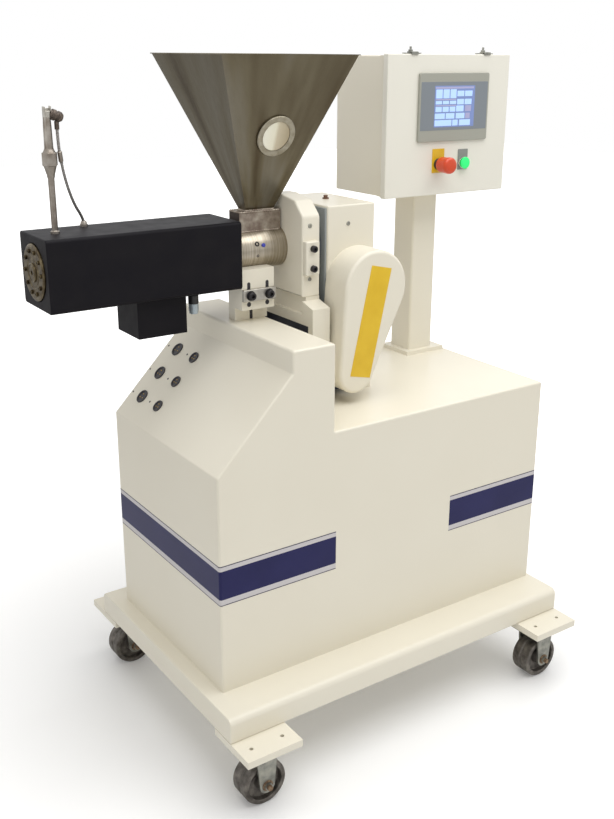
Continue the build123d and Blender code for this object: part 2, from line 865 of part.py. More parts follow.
# Motor behind the guard, on the deck, with its axis through the lower pulley
motor_x = guard_low_at[0]
with BuildPart() as motor:
    with BuildSketch(Plane.XZ.offset(-guard_back)):
        with Locations(guard_low_at):
            Circle(motor_r)
    extrude(amount=-motor_l)
    fillet(motor.faces().sort_by(Axis.Y)[-1].edges(), motor_round)
    motor_mid_y = guard_back + motor_l / 2
    with BuildSketch(Plane.XY.offset(deck)):
        with Locations((motor_x, motor_mid_y)):
            Rectangle(motor_foot_w, motor_foot_l)
    extrude(amount=motor_foot_t)
    with BuildSketch(Plane.XY.offset(deck + motor_foot_t)):
        with Locations((motor_x, motor_mid_y)):
            Rectangle(motor_foot_w - 2 * motor_foot_t, motor_foot_l)
    extrude(until=Until.NEXT)
save(motor.part, "drive_motor")

# Post on its foot plate
post_x = cab_left + post_left + post_side / 2
post_y = post_front + post_side / 2
plate_x = cab_left + post_plate_left + post_plate_l / 2
with BuildPart() as post_plate:
    with BuildSketch(Plane.XY.offset(deck)):
        with Locations((plate_x, post_y)):
            Rectangle(post_plate_l, post_plate_w)
    extrude(amount=post_plate_t)
save(post_plate.part, "post_plate")

with BuildPart() as post:
    with BuildSketch(Plane.XY.offset(deck + post_plate_t)):
        with Locations((post_x, post_y)):
            RectangleRounded(post_side, post_side, post_round)
            Rectangle(post_side - 2 * post_wall, post_side - 2 * post_wall, mode=Mode.SUBTRACT)
    extrude(amount=box_bottom - deck - post_plate_t)
save(post.part, "post")

# Control box: body, door on its hinge, and two clamps on the top edge
box_x = cab_left + box_left + box_l / 2
body_front = box_front + door_t + door_gap
body_y = (body_front + box_front + box_d) / 2
box_mid_z = (box_bottom + box_top) / 2
with BuildPart() as box_body:
    with BuildSketch(Plane.XY.offset(box_bottom)):
        with Locations((box_x, body_y)):
            Rectangle(box_l - 2 * door_over, box_front + box_d - body_front)
    extrude(amount=box_top - box_bottom)
    fillet(box_body.edges().filter_by(Axis.Z), door_round)
save(box_body.part, "control_box")

door_back = box_front + door_t
door_left = box_x - box_l / 2
stop_at = (door_left + estop_x, estop_z)
start_at = (door_left + start_x, start_z)
with BuildPart() as door:
    with BuildSketch(Plane.XZ.offset(-door_back)):
        with Locations((box_x, box_mid_z)):
            Rectangle(box_l, box_top - box_bottom + 2 * door_over)
    extrude(amount=door_t)
    fillet(door.edges().filter_by(Axis.Y), door_round)
    fillet(door.faces().sort_by(Axis.Y)[0].edges(), door_round / 2)
    with BuildSketch(Plane.XZ.offset(-box_front)):
        with Locations(stop_at):
            Circle(button_shaft_r + button_clear)
    extrude(amount=-button_well, mode=Mode.SUBTRACT)
save(door.part, "box_door")

# Hinge rod in the nook behind the door's left edge, on a leaf along the side of the box
body_left = door_left + door_over
hinge_at = (body_left - hinge_r, body_front + hinge_r)
print("door hinge axis", hinge_at)
with BuildPart() as hinge:
    with BuildSketch(Plane.XY.offset(box_bottom)):
        with Locations(hinge_at):
            Circle(hinge_r)
        with Locations((body_left - hinge_leaf_t / 2, hinge_at[1] + hinge_leaf / 2)):
            Rectangle(hinge_leaf_t, hinge_leaf)
    extrude(amount=box_top - box_bottom)
save(hinge.part, "door_hinge")

with BuildPart() as door_clamps:
    with BuildSketch(Plane.XY.offset(box_top + door_over)):
        with Locations((box_x, box_front + door_clamp_d / 2 + clamp_set)):
            with GridLocations(clamp_pitch, 0, 2, 1):
                Rectangle(door_clamp_l, door_clamp_d)
    extrude(amount=door_clamp_h)
save(door_clamps.part, "door_clamps")

# Operator panel on the door: screen, stop button and start button
hmi_at = (door_left + hmi_x, hmi_z)
with BuildPart() as hmi:
    with BuildSketch(Plane.XZ.offset(-box_front)):
        with Locations(hmi_at):
            RectangleRounded(hmi_l, hmi_h, hmi_round)
    extrude(amount=hmi_t)
    with BuildSketch(Plane.XZ.offset(hmi_t - box_front)):
        with Locations((hmi_at[0], hmi_at[1] + screen_up)):
            Rectangle(screen_l, screen_h)
    extrude(amount=-screen_set, mode=Mode.SUBTRACT)
save(hmi.part, "screen_bezel")

with BuildPart() as screen:
    with BuildSketch(Plane.XZ.offset(hmi_t - screen_set - box_front)):
        with Locations((hmi_at[0], hmi_at[1] + screen_up)):
            Rectangle(screen_l, screen_h)
    extrude(amount=screen_t)
save(screen.part, "screen_glass")

for label_name, button_at, plate_up, plate_size in (
    ("stop_plate", stop_at, stop_plate_up, (estop_plate_l, estop_plate_h)),
    ("start_plate", start_at, start_plate_up, (start_plate_l, start_plate_h)),
):
    with BuildPart() as plate:
        with BuildSketch(Plane.XZ.offset(-box_front)):
            with Locations((button_at[0], button_at[1] + plate_up)):
                RectangleRounded(*plate_size, button_plate_t)
            with Locations(button_at):
                Circle(button_shaft_r + button_clear, mode=Mode.SUBTRACT)
        extrude(amount=button_plate_t)
    save(plate.part, label_name)

plate_face = Plane.XZ.offset(button_plate_t - box_front)
with BuildPart() as stop_collar:
    with BuildSketch(plate_face):
        with Locations(stop_at):
            Circle(estop_neck_r)
            Circle(button_shaft_r + button_clear, mode=Mode.SUBTRACT)
    extrude(amount=estop_neck_l)
save(stop_collar.part, "stop_collar")

stop_rest = estop_neck_l + estop_travel + button_stop_gap
with BuildPart() as stop_button:
    with BuildSketch(plate_face.offset(stop_rest)):
        with Locations(stop_at):
            Circle(estop_head_r)
    extrude(amount=estop_head_l)
    fillet(stop_button.faces().sort_by(Axis.Y)[0].edges(), estop_head_round)
    with BuildSketch(plate_face.offset(stop_rest)):
        with Locations(stop_at):
            Circle(button_shaft_r)
    extrude(amount=-stop_rest + button_shaft_gap)
save(stop_button.part, "stop_button")

with BuildPart() as start_ring:
    with BuildSketch(plate_face):
        with Locations(start_at):
            Circle(start_ring_r)
            Circle(start_cap_r + button_clear, mode=Mode.SUBTRACT)
    extrude(amount=start_ring_l)
save(start_ring.part, "start_ring")

with BuildPart() as start_button:
    with BuildSketch(plate_face.offset(start_travel + button_stop_gap)):
        with Locations(start_at):
            Circle(start_cap_r)
    extrude(amount=start_ring_l)
    with BuildSketch(plate_face.offset(start_ring_l + start_travel + button_stop_gap)):
        with Locations(start_at):
            Circle(start_lens_r)
    extrude(amount=start_lens_t)
    fillet(start_button.faces().sort_by(Axis.Y)[0].edges(), start_lens_t / 2)
save(start_button.part, "start_button")
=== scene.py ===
# %% [markdown]
# # A small laboratory plastic extruder
#
# The machine melts plastic pellets and pushes them through a nozzle.  Pellets fall from the
# steel hopper into the feed throat, a screw carries them along the barrel under the square
# black cover, and a gearbox with a belt drive turns the screw.  Everything stands on a painted
# cabinet, which stands on a base pan with four casters.
#
# The construction was drawn in CAD.  This lesson dresses it: it keeps the CAD solids where
# their shape is already right, and gives the others softly rounded surfaces worked out with
# numpy, because real sheet metal has no knife edges and the round edges catch the light.

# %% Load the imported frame
import math

import bpy
import numpy as np
from mathutils import Matrix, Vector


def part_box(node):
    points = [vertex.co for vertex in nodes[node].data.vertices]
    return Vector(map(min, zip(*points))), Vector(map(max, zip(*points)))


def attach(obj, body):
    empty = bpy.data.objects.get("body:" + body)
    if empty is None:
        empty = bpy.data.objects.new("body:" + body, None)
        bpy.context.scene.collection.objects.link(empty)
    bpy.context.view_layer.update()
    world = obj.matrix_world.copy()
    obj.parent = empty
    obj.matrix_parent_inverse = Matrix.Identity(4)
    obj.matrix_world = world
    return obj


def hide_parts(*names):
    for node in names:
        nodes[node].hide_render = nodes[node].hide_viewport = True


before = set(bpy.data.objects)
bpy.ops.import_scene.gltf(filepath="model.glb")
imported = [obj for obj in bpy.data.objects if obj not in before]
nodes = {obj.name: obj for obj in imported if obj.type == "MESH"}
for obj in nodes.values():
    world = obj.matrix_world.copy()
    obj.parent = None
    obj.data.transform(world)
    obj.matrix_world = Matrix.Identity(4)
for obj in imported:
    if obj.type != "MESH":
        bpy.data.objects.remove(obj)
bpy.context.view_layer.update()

# %% [markdown]
# ## The camera
#
# The photograph was taken from the front left corner, a little above the machine, looking
# down by about 18 degrees.  The camera's place and turn were solved from the straight edges of
# the cabinet, so the render has the same perspective.  The photograph was cropped off centre,
# which is what the small shift stands for.

# %% Camera
MM = 0.001
PICTURE_W, PICTURE_H = 614, 819
FOCAL_PX = 1013.2
CENTRE_PX = (324.56, 388.47)
SENSOR_MM = 36.0
CAMERA_AT = np.array([-1290.7, -1851.5, 1511.6]) * MM
CAMERA_TURN = (-35.279, 18.356, 0.498)


def turned_axes(azimuth, elevation, roll):
    """Right, up and back of a camera: back is (sin a cos e, -cos a cos e, sin e), right is
    level, and both are then rolled about back."""
    a, e, r = (math.radians(v) for v in (azimuth, elevation, roll))
    back = np.array([math.sin(a) * math.cos(e), -math.cos(a) * math.cos(e), math.sin(e)])
    level = np.array([math.cos(a), math.sin(a), 0.0])
    up = np.cross(back, level)
    return level * math.cos(r) + up * math.sin(r), up * math.cos(r) - level * math.sin(r), back


def added(name, data):
    """Makes an object of its data and links it to the scene."""
    made = bpy.data.objects.new(name, data)
    bpy.context.scene.collection.objects.link(made)
    return made


camera_data = bpy.data.cameras.new("camera")
camera = added("camera", camera_data)
columns = (*turned_axes(*CAMERA_TURN), CAMERA_AT)
camera.matrix_world = Matrix([[column[i] for column in columns] for i in range(3)] + [[0, 0, 0, 1]])
camera_data.sensor_width = SENSOR_MM
camera_data.lens = FOCAL_PX * SENSOR_MM / PICTURE_H
camera_data.shift_x = (PICTURE_W / 2 - CENTRE_PX[0]) / PICTURE_H
camera_data.shift_y = (CENTRE_PX[1] - PICTURE_H / 2) / PICTURE_H
camera_data.clip_end = 60.0
bpy.context.scene.camera = camera
print("lens", round(camera_data.lens, 2), "shift", round(camera_data.shift_x, 4), round(camera_data.shift_y, 4))

# %% [markdown]
# ## Finishes
#
# A finish starts as one Principled shader.  Numbers that are the same all over the surface
# go straight on the shader.  Variation comes from noise read in Object coordinates, which
# are metres on the machine itself, so a scale of 400 gives grains of about two millimetres.

# %% Helpers for finishes
def shader_of(mat):
    """The material's Principled shader."""
    return mat.node_tree.nodes["Principled BSDF"]


def finish(name, colour, metallic=0.0, roughness=0.4, sockets=None):
    """A Principled material with linear red, green and blue, and any further sockets by name."""
    mat = bpy.data.materials.new(name)
    mat.use_nodes = True
    values = {"Base Color": (*colour, 1.0), "Metallic": metallic, "Roughness": roughness, **(sockets or {})}
    for socket, value in values.items():
        shader_of(mat).inputs[socket].default_value = value
    return mat


def node(mat, kind, **settings):
    """Adds one node to a material and sets its properties."""
    made = mat.node_tree.nodes.new(kind)
    for key, value in settings.items():
        setattr(made, key, value)
    return made


def link(mat, out, to):
    """Joins an output to an input."""
    mat.node_tree.links.new(out, to)


def object_place(mat):
    """Object coordinates: metres on the machine."""
    return node(mat, "ShaderNodeTexCoord").outputs["Object"]


def grain(mat, scale, detail=2.0, stretch=(1.0, 1.0, 1.0), vector=None):
    """Noise between 0 and 1 with grains of 1/scale metres, stretched along the axes."""
    noise = node(mat, "ShaderNodeTexNoise")
    noise.inputs["Scale"].default_value = scale
    noise.inputs["Detail"].default_value = detail
    if vector is None:
        mapping = node(mat, "ShaderNodeMapping")
        mapping.inputs["Scale"].default_value = stretch
        link(mat, object_place(mat), mapping.inputs["Vector"])
        vector = mapping.outputs["Vector"]
    link(mat, vector, noise.inputs["Vector"])
    return noise.outputs["Fac"]


def spread(mat, value, low, high, to_low=0.0, to_high=1.0):
    """Maps value from the range low..high to to_low..to_high, and clips it there."""
    ranged = node(mat, "ShaderNodeMapRange")
    for socket, number in zip(("From Min", "From Max", "To Min", "To Max"), (low, high, to_low, to_high)):
        ranged.inputs[socket].default_value = number
    link(mat, value, ranged.inputs["Value"])
    return ranged.outputs["Result"]


def colour_from(mat, value, stops):
    """Takes the base colour from a ramp: stops are (place, linear colour) pairs."""
    ramp = node(mat, "ShaderNodeValToRGB")
    elements = ramp.color_ramp.elements
    while len(elements) < len(stops):
        elements.new(0.5)
    for element, (place, colour) in zip(elements, stops):
        element.position = place
        element.color = (*colour, 1.0)
    link(mat, value, ramp.inputs["Fac"])
    link(mat, ramp.outputs["Color"], shader_of(mat).inputs["Base Color"])


def roughness_from(mat, noise, least, most):
    """Lets the roughness go from least to most over the middle of a noise."""
    link(mat, spread(mat, noise, 0.3, 0.7, least, most), shader_of(mat).inputs["Roughness"])


def relief(mat, height, depth):
    """Adds bumps: height from 0 to 1 stands for depth metres."""
    bump = node(mat, "ShaderNodeBump")
    bump.inputs["Strength"].default_value = 1.0
    bump.inputs["Distance"].default_value = depth
    link(mat, height, bump.inputs["Height"])
    link(mat, bump.outputs["Normal"], shader_of(mat).inputs["Normal"])


def coat(name, colour, roughness, bumps=None, mottle=None, gloss=None, metallic=0.0, sockets=None):
    """A finish with small variations, each from noise of its own.  bumps and mottle begin with
    the noise's scale and detail; bumps go on with their depth in metres and mottle with its
    colour stops, and either may end with a stretch.  gloss is (scale, detail, least roughness,
    most roughness)."""
    mat = finish(name, colour, metallic, roughness, sockets)
    if mottle:
        scale, detail, stops, *stretch = mottle
        colour_from(mat, grain(mat, scale, detail, *stretch), stops)
    if gloss:
        scale, detail, least, most = gloss
        roughness_from(mat, grain(mat, scale, detail), least, most)
    if bumps:
        scale, detail, depth, *stretch = bumps
        relief(mat, grain(mat, scale, detail, *stretch), depth)
    return mat


# %% [markdown]
# ### Paint
#
# Two-pack gloss enamel is never quite flat: it dries with a fine orange peel a few millimetres
# across, and its colour drifts by a percent or two over a panel.  Both are small here, and they
# keep large white faces from looking like paper.  The door is a shade cooler than the cabinet,
# the barrel cover is satin black, and the motor is dark blue.

# %% Paints
ORANGE_PEEL = (170.0, 0.0, 0.000012)
white_paint = coat("white_paint", (0.82, 0.775, 0.655), 0.30, ORANGE_PEEL, (5.0, 2.0, [
    (0.25, (0.812, 0.766, 0.646)), (0.75, (0.828, 0.784, 0.666))]), (9.0, 2.0, 0.28, 0.34),
    sockets={"Specular IOR Level": 0.4})
cool_paint = coat("cool_white_paint", (0.82, 0.80, 0.715), 0.30, ORANGE_PEEL, (5.0, 2.0, [
    (0.25, (0.812, 0.792, 0.707)), (0.75, (0.828, 0.808, 0.723))]), sockets={"Specular IOR Level": 0.4})
black_paint = coat("black_satin_paint", (0.010, 0.009, 0.013), 0.50, (400.0, 1.0, 0.00002), (18.0, 5.0, [
    (0.35, (0.0075, 0.0068, 0.0095)), (0.75, (0.0105, 0.0095, 0.0115))]), (30.0, 3.0, 0.46, 0.54),
    sockets={"Specular IOR Level": 0.11})
motor_paint = coat("motor_paint", (0.022, 0.026, 0.050), 0.42, (300.0, 1.0, 0.00003),
                   sockets={"Specular IOR Level": 0.3})

# %% [markdown]
# ### Steels
#
# Every bare steel part on the machine was finished in its own way.  The hopper is brushed up
# and down its walls, the feed throat was turned in a lathe, the die flange has been hot for
# hours and went straw brown.  The streaks follow the tool, so the noise is stretched that way.

# %% Brushed hopper steel, with streaks and painted reflection bands that fan out from the bottom of the funnel
hopper_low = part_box("hopper_front")[0]
hopper_mid = [sum(corner[k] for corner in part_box(name)) / 2 for k, name in enumerate(("hopper_front", "hopper_left"))]
FAN_DEPTH, FAN_DRIFT = 0.075, 0.6


def fan_vector(mat):
    """Position divided by the height above a point under the funnel, so lines of equal value
    run up the sloping walls instead of straight up."""
    def worked(operation, first, second):
        """A node that works out one sum; the second term is a number or an output."""
        sum_node = node(mat, "ShaderNodeMath", operation=operation)
        link(mat, first, sum_node.inputs[0])
        if isinstance(second, float):
            sum_node.inputs[1].default_value = second
        else:
            link(mat, second, sum_node.inputs[1])
        return sum_node.outputs[0]

    apart = node(mat, "ShaderNodeSeparateXYZ")
    link(mat, object_place(mat), apart.inputs["Vector"])
    height = worked("SUBTRACT", apart.outputs["Z"], float(hopper_low[2]) - FAN_DEPTH)
    joined = node(mat, "ShaderNodeCombineXYZ")
    for axis, middle in zip("XY", hopper_mid):
        offset = worked("SUBTRACT", apart.outputs[axis], float(middle))
        link(mat, worked("DIVIDE", offset, height), joined.inputs[axis])
    link(mat, worked("MULTIPLY", apart.outputs["Z"], FAN_DRIFT), joined.inputs["Z"])
    return joined.outputs["Vector"]


hopper_steel = finish("brushed_hopper_steel", (0.13, 0.11, 0.07), metallic=1.0, roughness=0.36)
fan = fan_vector(hopper_steel)
# Broad light and dark bands in the colour are painted reflections of the room, fanning up the walls.
colour_from(hopper_steel, grain(hopper_steel, 4.5, 2.0, vector=fan), [
    (0.30, (0.085, 0.066, 0.040)), (0.48, (0.145, 0.124, 0.082)), (0.66, (0.185, 0.168, 0.132))])
streaks = grain(hopper_steel, 90.0, 3.0, vector=fan)
roughness_from(hopper_steel, streaks, 0.28, 0.44)
relief(hopper_steel, streaks, 0.00006)

# %% Turned, heat-tinted, welded and machined steels, zinc plate and castings
LATHE_FINE, LATHE_COARSE, DRAWN = (700.0, 6.0, 6.0), (500.0, 6.0, 6.0), (0.15, 1.0, 1.0)
turned_steel = coat("turned_steel", (0.42, 0.38, 0.29), 0.30, (1.0, 3.0, 0.00005, LATHE_FINE), (1.0, 3.0, [
    (0.30, (0.48, 0.42, 0.31)), (0.70, (0.60, 0.54, 0.42))], LATHE_FINE), metallic=1.0)
throat_steel = coat("throat_steel", (0.34, 0.30, 0.24), 0.30, (1.0, 3.0, 0.00006, LATHE_COARSE), (1.0, 3.0, [
    (0.30, (0.30, 0.26, 0.20)), (0.70, (0.50, 0.45, 0.37))], LATHE_COARSE), metallic=1.0)
warm_steel = coat("heat_tinted_steel", (0.26, 0.20, 0.11), 0.34, (160.0, 4.0, 0.00012), (70.0, 5.0, [
    (0.32, (0.055, 0.038, 0.020)), (0.50, (0.115, 0.088, 0.048)), (0.70, (0.20, 0.16, 0.09))]), metallic=1.0)
bright_steel = coat("machined_steel", (0.46, 0.44, 0.40), 0.33, (900.0, 2.0, 0.00004, DRAWN), (60.0, 4.0, [
    (0.30, (0.38, 0.355, 0.31)), (0.70, (0.54, 0.52, 0.47))]), metallic=1.0)
probe_steel = coat("probe_steel", (0.30, 0.27, 0.23), 0.38, (700.0, 2.0, 0.00005), (45.0, 4.0, [
    (0.30, (0.20, 0.165, 0.135)), (0.70, (0.40, 0.37, 0.33))]), metallic=1.0)
window_steel = coat("window_ring_steel", (0.30, 0.27, 0.20), 0.34, (500.0, 2.0, 0.00003), (80.0, 3.0, [
    (0.30, (0.24, 0.21, 0.15)), (0.70, (0.36, 0.33, 0.26))]), metallic=1.0)
weld_steel = coat("weld_steel", (0.30, 0.26, 0.21), 0.42, (350.0, 3.0, 0.00008), (60.0, 4.0, [
    (0.30, (0.20, 0.15, 0.12)), (0.52, (0.33, 0.28, 0.23)), (0.72, (0.46, 0.41, 0.34))]), metallic=0.8)
# Near-black steel: painted shade for the neck's left side, which stands in shadow.
neck_painted_shade = coat("neck_painted_shade", (0.075, 0.055, 0.045), 0.5, (350.0, 3.0, 0.00008), metallic=0.6)
braid_steel = coat("braided_steel", (0.32, 0.31, 0.29), 0.5, None, (500.0, 2.0, [
    (0.30, (0.20, 0.19, 0.18)), (0.70, (0.44, 0.42, 0.40))]), metallic=0.5)
zinc_plate = coat("zinc_plate", (0.30, 0.30, 0.27), 0.42, (420.0, 3.0, 0.00010), (55.0, 5.0, [
    (0.28, (0.17, 0.17, 0.15)), (0.50, (0.29, 0.29, 0.26)), (0.74, (0.40, 0.39, 0.33))]),
    (120.0, 4.0, 0.34, 0.56), metallic=0.85)
black_oxide = coat("black_oxide", (0.035, 0.033, 0.036), 0.38, (800.0, 2.0, 0.00004), metallic=0.7)
wheel_iron = coat("wheel_iron", (0.10, 0.088, 0.075), 0.48, (380.0, 4.0, 0.00025), (65.0, 6.0, [
    (0.28, (0.055, 0.047, 0.040)), (0.52, (0.13, 0.117, 0.102)), (0.72, (0.22, 0.20, 0.175))]), metallic=0.55)
rusty_nut = coat("rusty_nut", (0.22, 0.13, 0.07), 0.62, (500.0, 4.0, 0.00018), (160.0, 5.0, [
    (0.30, (0.11, 0.055, 0.03)), (0.70, (0.33, 0.24, 0.15))]), metallic=0.5)
breather_brown = coat("breather_brown", (0.20, 0.11, 0.07), 0.5, (500.0, 2.0, 0.00005), metallic=0.4)
plug_brown = coat("plug_brown", (0.085, 0.062, 0.048), 0.5, (600.0, 3.0, 0.00010), (220.0, 4.0, [
    (0.30, (0.045, 0.034, 0.028)), (0.70, (0.15, 0.115, 0.09))]), metallic=0.4)
chrome_ring = coat("satin_chrome", (0.55, 0.55, 0.54), 0.18, (900.0, 1.0, 0.00002), metallic=1.0)
brass = coat("brass", (0.46, 0.30, 0.09), 0.30, (600.0, 2.0, 0.00005), metallic=1.0)
fitting_pale = coat("fitting_pale", (0.55, 0.64, 0.70), 0.35, (600.0, 2.0, 0.00004), metallic=0.3)

# %% Plastics, films, glass and the lit display
FINE_TEXTURE, VINYL_GRAIN = (1200.0, 2.0, 0.00004), (240.0, 1.0, 0.00004)
bezel_pale = coat("bezel_pale", (0.36, 0.36, 0.31), 0.5, FINE_TEXTURE)
bezel_dark = coat("bezel_dark", (0.215, 0.24, 0.265), 0.45, FINE_TEXTURE)
socket_black = coat("socket_black", (0.018, 0.016, 0.020), 0.45, (900.0, 2.0, 0.00005))
collar_black = coat("collar_black", (0.03, 0.03, 0.032), 0.35, (900.0, 2.0, 0.00003))
# Grey and dark painted shade for the shaded gap between the thrust housing and the reducer.
grey_painted_shade = coat("grey_painted_shade", (0.30, 0.33, 0.34), 0.5, (300.0, 2.0, 0.00005))
dark_painted_shade = coat("gap_painted_shade_dark", (0.10, 0.11, 0.13), 0.55, (300.0, 2.0, 0.00005))
blue_cap = coat("blue_cap", (0.05, 0.06, 0.42), 0.35, (400.0, 1.0, 0.00003))
stop_red = coat("stop_red", (0.66, 0.058, 0.010), 0.28, (300.0, 1.0, 0.00003), sockets={"Coat Weight": 0.25})
yellow_film = coat("yellow_film", (0.86, 0.52, 0.02), 0.32, (150.0, 2.0, 0.00003), (25.0, 3.0, [
    (0.30, (0.74, 0.47, 0.012)), (0.70, (0.80, 0.53, 0.022))]))
grey_film = coat("grey_film", (0.28, 0.29, 0.27), 0.42, (900.0, 2.0, 0.00003, (1.0, 1.0, 0.1)), metallic=0.4)
navy_vinyl = coat("navy_vinyl", (0.014, 0.014, 0.095), 0.34, ORANGE_PEEL, (12.0, 3.0, [
    (0.30, (0.009, 0.009, 0.072)), (0.70, (0.013, 0.013, 0.088))]), sockets={"Specular IOR Level": 0.25})
line_vinyl = coat("line_vinyl", (0.035, 0.033, 0.075), 0.35, VINYL_GRAIN)
lilac_vinyl = coat("lilac_vinyl", (0.60, 0.575, 0.585), 0.33, VINYL_GRAIN)


def lit(name, colour, glow, strength, roughness=0.20, bumps=(1500.0, 1.0, 0.00001)):
    """A smooth plastic or glass that also gives off a little light of the colour glow."""
    return coat(name, colour, roughness, bumps,
                sockets={"Emission Color": (*glow, 1.0), "Emission Strength": strength})


screen_back = lit("screen_back", (0.17, 0.23, 0.46), (0.17, 0.23, 0.46), 0.30)
screen_block = lit("screen_block", (0.42, 0.60, 0.92), (0.42, 0.60, 0.92), 0.35)
screen_dim = lit("screen_dim", (0.36, 0.36, 0.56), (0.36, 0.36, 0.56), 0.20)
start_green = lit("start_green", (0.03, 0.78, 0.20), (0.02, 0.75, 0.16), 0.35, 0.22, (500.0, 1.0, 0.00003))
print("finishes", len(bpy.data.materials))

# %% [markdown]
# ## Surfaces from arrays
#
# Nearly every part of this machine is either an outline pulled straight, or a profile spun
# round an axis.  Both are a stack of closed rings of points.  So one helper skins a stack of
# rings, and two small functions work the rings out for a whole part at once.

# %% Outlines and rings
def axes_plane(origin, across, upward):
    """A drawing plane: origin in millimetres, two unit axes, and their cross product."""
    u, v = (np.array(a, float) / np.linalg.norm(a) for a in (across, upward))
    return np.array(origin, float), u, v, np.cross(u, v)


def rounded(corners, steps=6):
    """Outline of a polygon with round corners, and the outward direction at each point.  At a
    corner that turns by t, the arc of radius r starts r tan(t/2) before the corner; a point of
    it is the arc's centre plus r times the direction, which turns evenly from one edge's
    outward direction to the next one's."""
    given = np.array(corners, float)
    corner, radius = given[:, :2], given[:, 2]
    before = corner - np.roll(corner, 1, axis=0)
    after = np.roll(corner, -1, axis=0) - corner
    before /= np.linalg.norm(before, axis=1)[:, None]
    after /= np.linalg.norm(after, axis=1)[:, None]
    turn = np.arctan2(before[:, 0] * after[:, 1] - before[:, 1] * after[:, 0], (before * after).sum(1))
    start = np.arctan2(-before[:, 0], before[:, 1])
    angle = start[:, None] + turn[:, None] * np.linspace(0.0, 1.0, steps + 1)
    outward = np.stack([np.cos(angle), np.sin(angle)], axis=2)
    sign = np.sign(turn)[:, None]
    first = corner - before * (radius * np.tan(np.abs(turn) / 2))[:, None]
    centre = first - outward[:, 0] * sign * radius[:, None]
    points = centre[:, None, :] + outward * (sign * radius[:, None])[:, :, None]
    return points.reshape(-1, 2), outward.reshape(-1, 2)


def box_outline(width, height, radius, middle=(0.0, 0.0), steps=6):
    """A rectangle with round corners about its middle."""
    w, h = width / 2, height / 2
    x, y = middle
    return rounded([(x - w, y - h, radius), (x + w, y - h, radius), (x + w, y + h, radius),
                    (x - w, y + h, radius)], steps)


def pulled(outline, plane, low, high, edge=1.0, edge_high=None, arcs=4):
    """Rings of an outline pulled from low to high along the plane's normal, with round edges:
    on the edge the outline is drawn in by e(1 - sin q) while the height is e(1 - cos q) from
    the end, for q from 0 to a right angle."""
    points, outward = outline
    origin, u, v, w = plane
    edge_high = edge if edge_high is None else edge_high
    q = np.linspace(0.0, math.pi / 2, arcs + 1)
    inset = np.concatenate([edge * (1 - np.sin(q)), edge_high * (1 - np.sin(q))[::-1]])
    height = np.concatenate([low + edge * (1 - np.cos(q)), high - edge_high * (1 - np.cos(q))[::-1]])
    flat = points[None] - inset[:, None, None] * outward[None]
    return (origin + flat[:, :, :1] * u + flat[:, :, 1:] * v + height[:, None, None] * w)


def spun(profile, origin, axis, steps=48, start=(0.0, 0.0, 1.0)):
    """Rings of a profile of (along, radius) pairs spun round an axis: a point is origin plus
    along times the axis plus radius times the direction at each angle."""
    along, radius = np.array(profile, float).T
    axis = np.array(axis, float) / np.linalg.norm(axis)
    side = np.array(start, float) - np.dot(start, axis) * axis
    side /= np.linalg.norm(side)
    other = np.cross(axis, side)
    angle = np.linspace(0.0, 2 * math.pi, steps, endpoint=False)
    direction = np.cos(angle)[:, None] * side + np.sin(angle)[:, None] * other
    return (np.array(origin, float) + along[:, None, None] * axis
            + radius[:, None, None] * direction[None])


# %% Skin a stack of rings, and put parts into the scene
def skin(rings, closed=False):
    """Vertices and faces of stacked rings.  Face (k, i) joins points i and i+1 of ring k to
    the same points of ring k+1.  The two end rings are closed by one face each, or, for a
    closed stack, the last ring is joined to the first."""
    count, size, _ = rings.shape
    here = np.arange(count * size).reshape(count, size)
    lower = here if closed else here[:-1]
    upper = np.roll(here, -1, axis=0) if closed else here[1:]
    quads = np.stack([lower, np.roll(lower, -1, axis=1), np.roll(upper, -1, axis=1), upper], axis=2)
    faces = quads.reshape(-1, 4).tolist()
    if not closed:
        faces += [here[0][::-1].tolist(), here[-1].tolist()]
    return rings.reshape(-1, 3), faces


def place(name, parts, material, body="machine", replaces=(), sharp=35.0):
    """Makes one object of several skinned parts (millimetres), rides it on a CAD body, and
    hides the CAD nodes that it stands for."""
    corners, faces, first = [], [], 0
    for points, part_faces in parts:
        corners.append(points)
        faces += [[first + i for i in face] for face in part_faces]
        first += len(points)
    mesh = bpy.data.meshes.new(name)
    mesh.from_pydata(np.concatenate(corners) * MM, [], faces)
    mesh.validate()
    mesh.shade_smooth()
    mesh.set_sharp_from_angle(angle=math.radians(sharp))
    mesh.materials.append(material)
    made = added(name, mesh)
    made.modifiers.new("weighted_normals", "WEIGHTED_NORMAL").keep_sharp = True
    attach(made, body)
    if replaces:
        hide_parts(*replaces)
    return made


def box_mm(name):
    """Lowest and highest corner of a CAD node in millimetres."""
    low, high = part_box(name)
    return np.array(low) / MM, np.array(high) / MM


def centre_mm(name):
    """The middle of a CAD node's box in millimetres."""
    low, high = box_mm(name)
    return (low + high) / 2


def dress(material, *names):
    """Gives CAD nodes a finish and keeps their shape."""
    for name in names:
        slots = nodes[name].data.materials
        slots.clear()
        slots.append(material)


XY = axes_plane((0, 0, 0), (1, 0, 0), (0, 1, 0))
YZ = axes_plane((0, 0, 0), (0, 1, 0), (0, 0, 1))
FRONT = axes_plane((0, 0, 0), (1, 0, 0), (0, 0, 1))
print("front plane looks along", FRONT[3])

# %% [markdown]
# ### Shapes that turn up all over the machine
#
# Prisms, turned parts, blocks with round edges, socket screws and weld beads each get a
# function of their own.

# %% Prisms, turned parts, blocks, screws and beads
LEFT, EAST, FORWARD, BACK = (-1.0, 0.0, 0.0), (1.0, 0.0, 0.0), (0.0, -1.0, 0.0), (0.0, 1.0, 0.0)
DOWN, UP = (0.0, 0.0, -1.0), (0.0, 0.0, 1.0)


def prism(outline, plane, low, high, edge=1.0, edge_high=None):
    """A closed part: an outline pulled along its plane's normal."""
    return skin(pulled(outline, plane, low, high, edge, edge_high))


def turned(profile, origin, axis, steps=48, start=UP):
    """A closed part spun from a profile, with a flat face at each end."""
    return skin(spun(profile, origin, axis, steps, start))


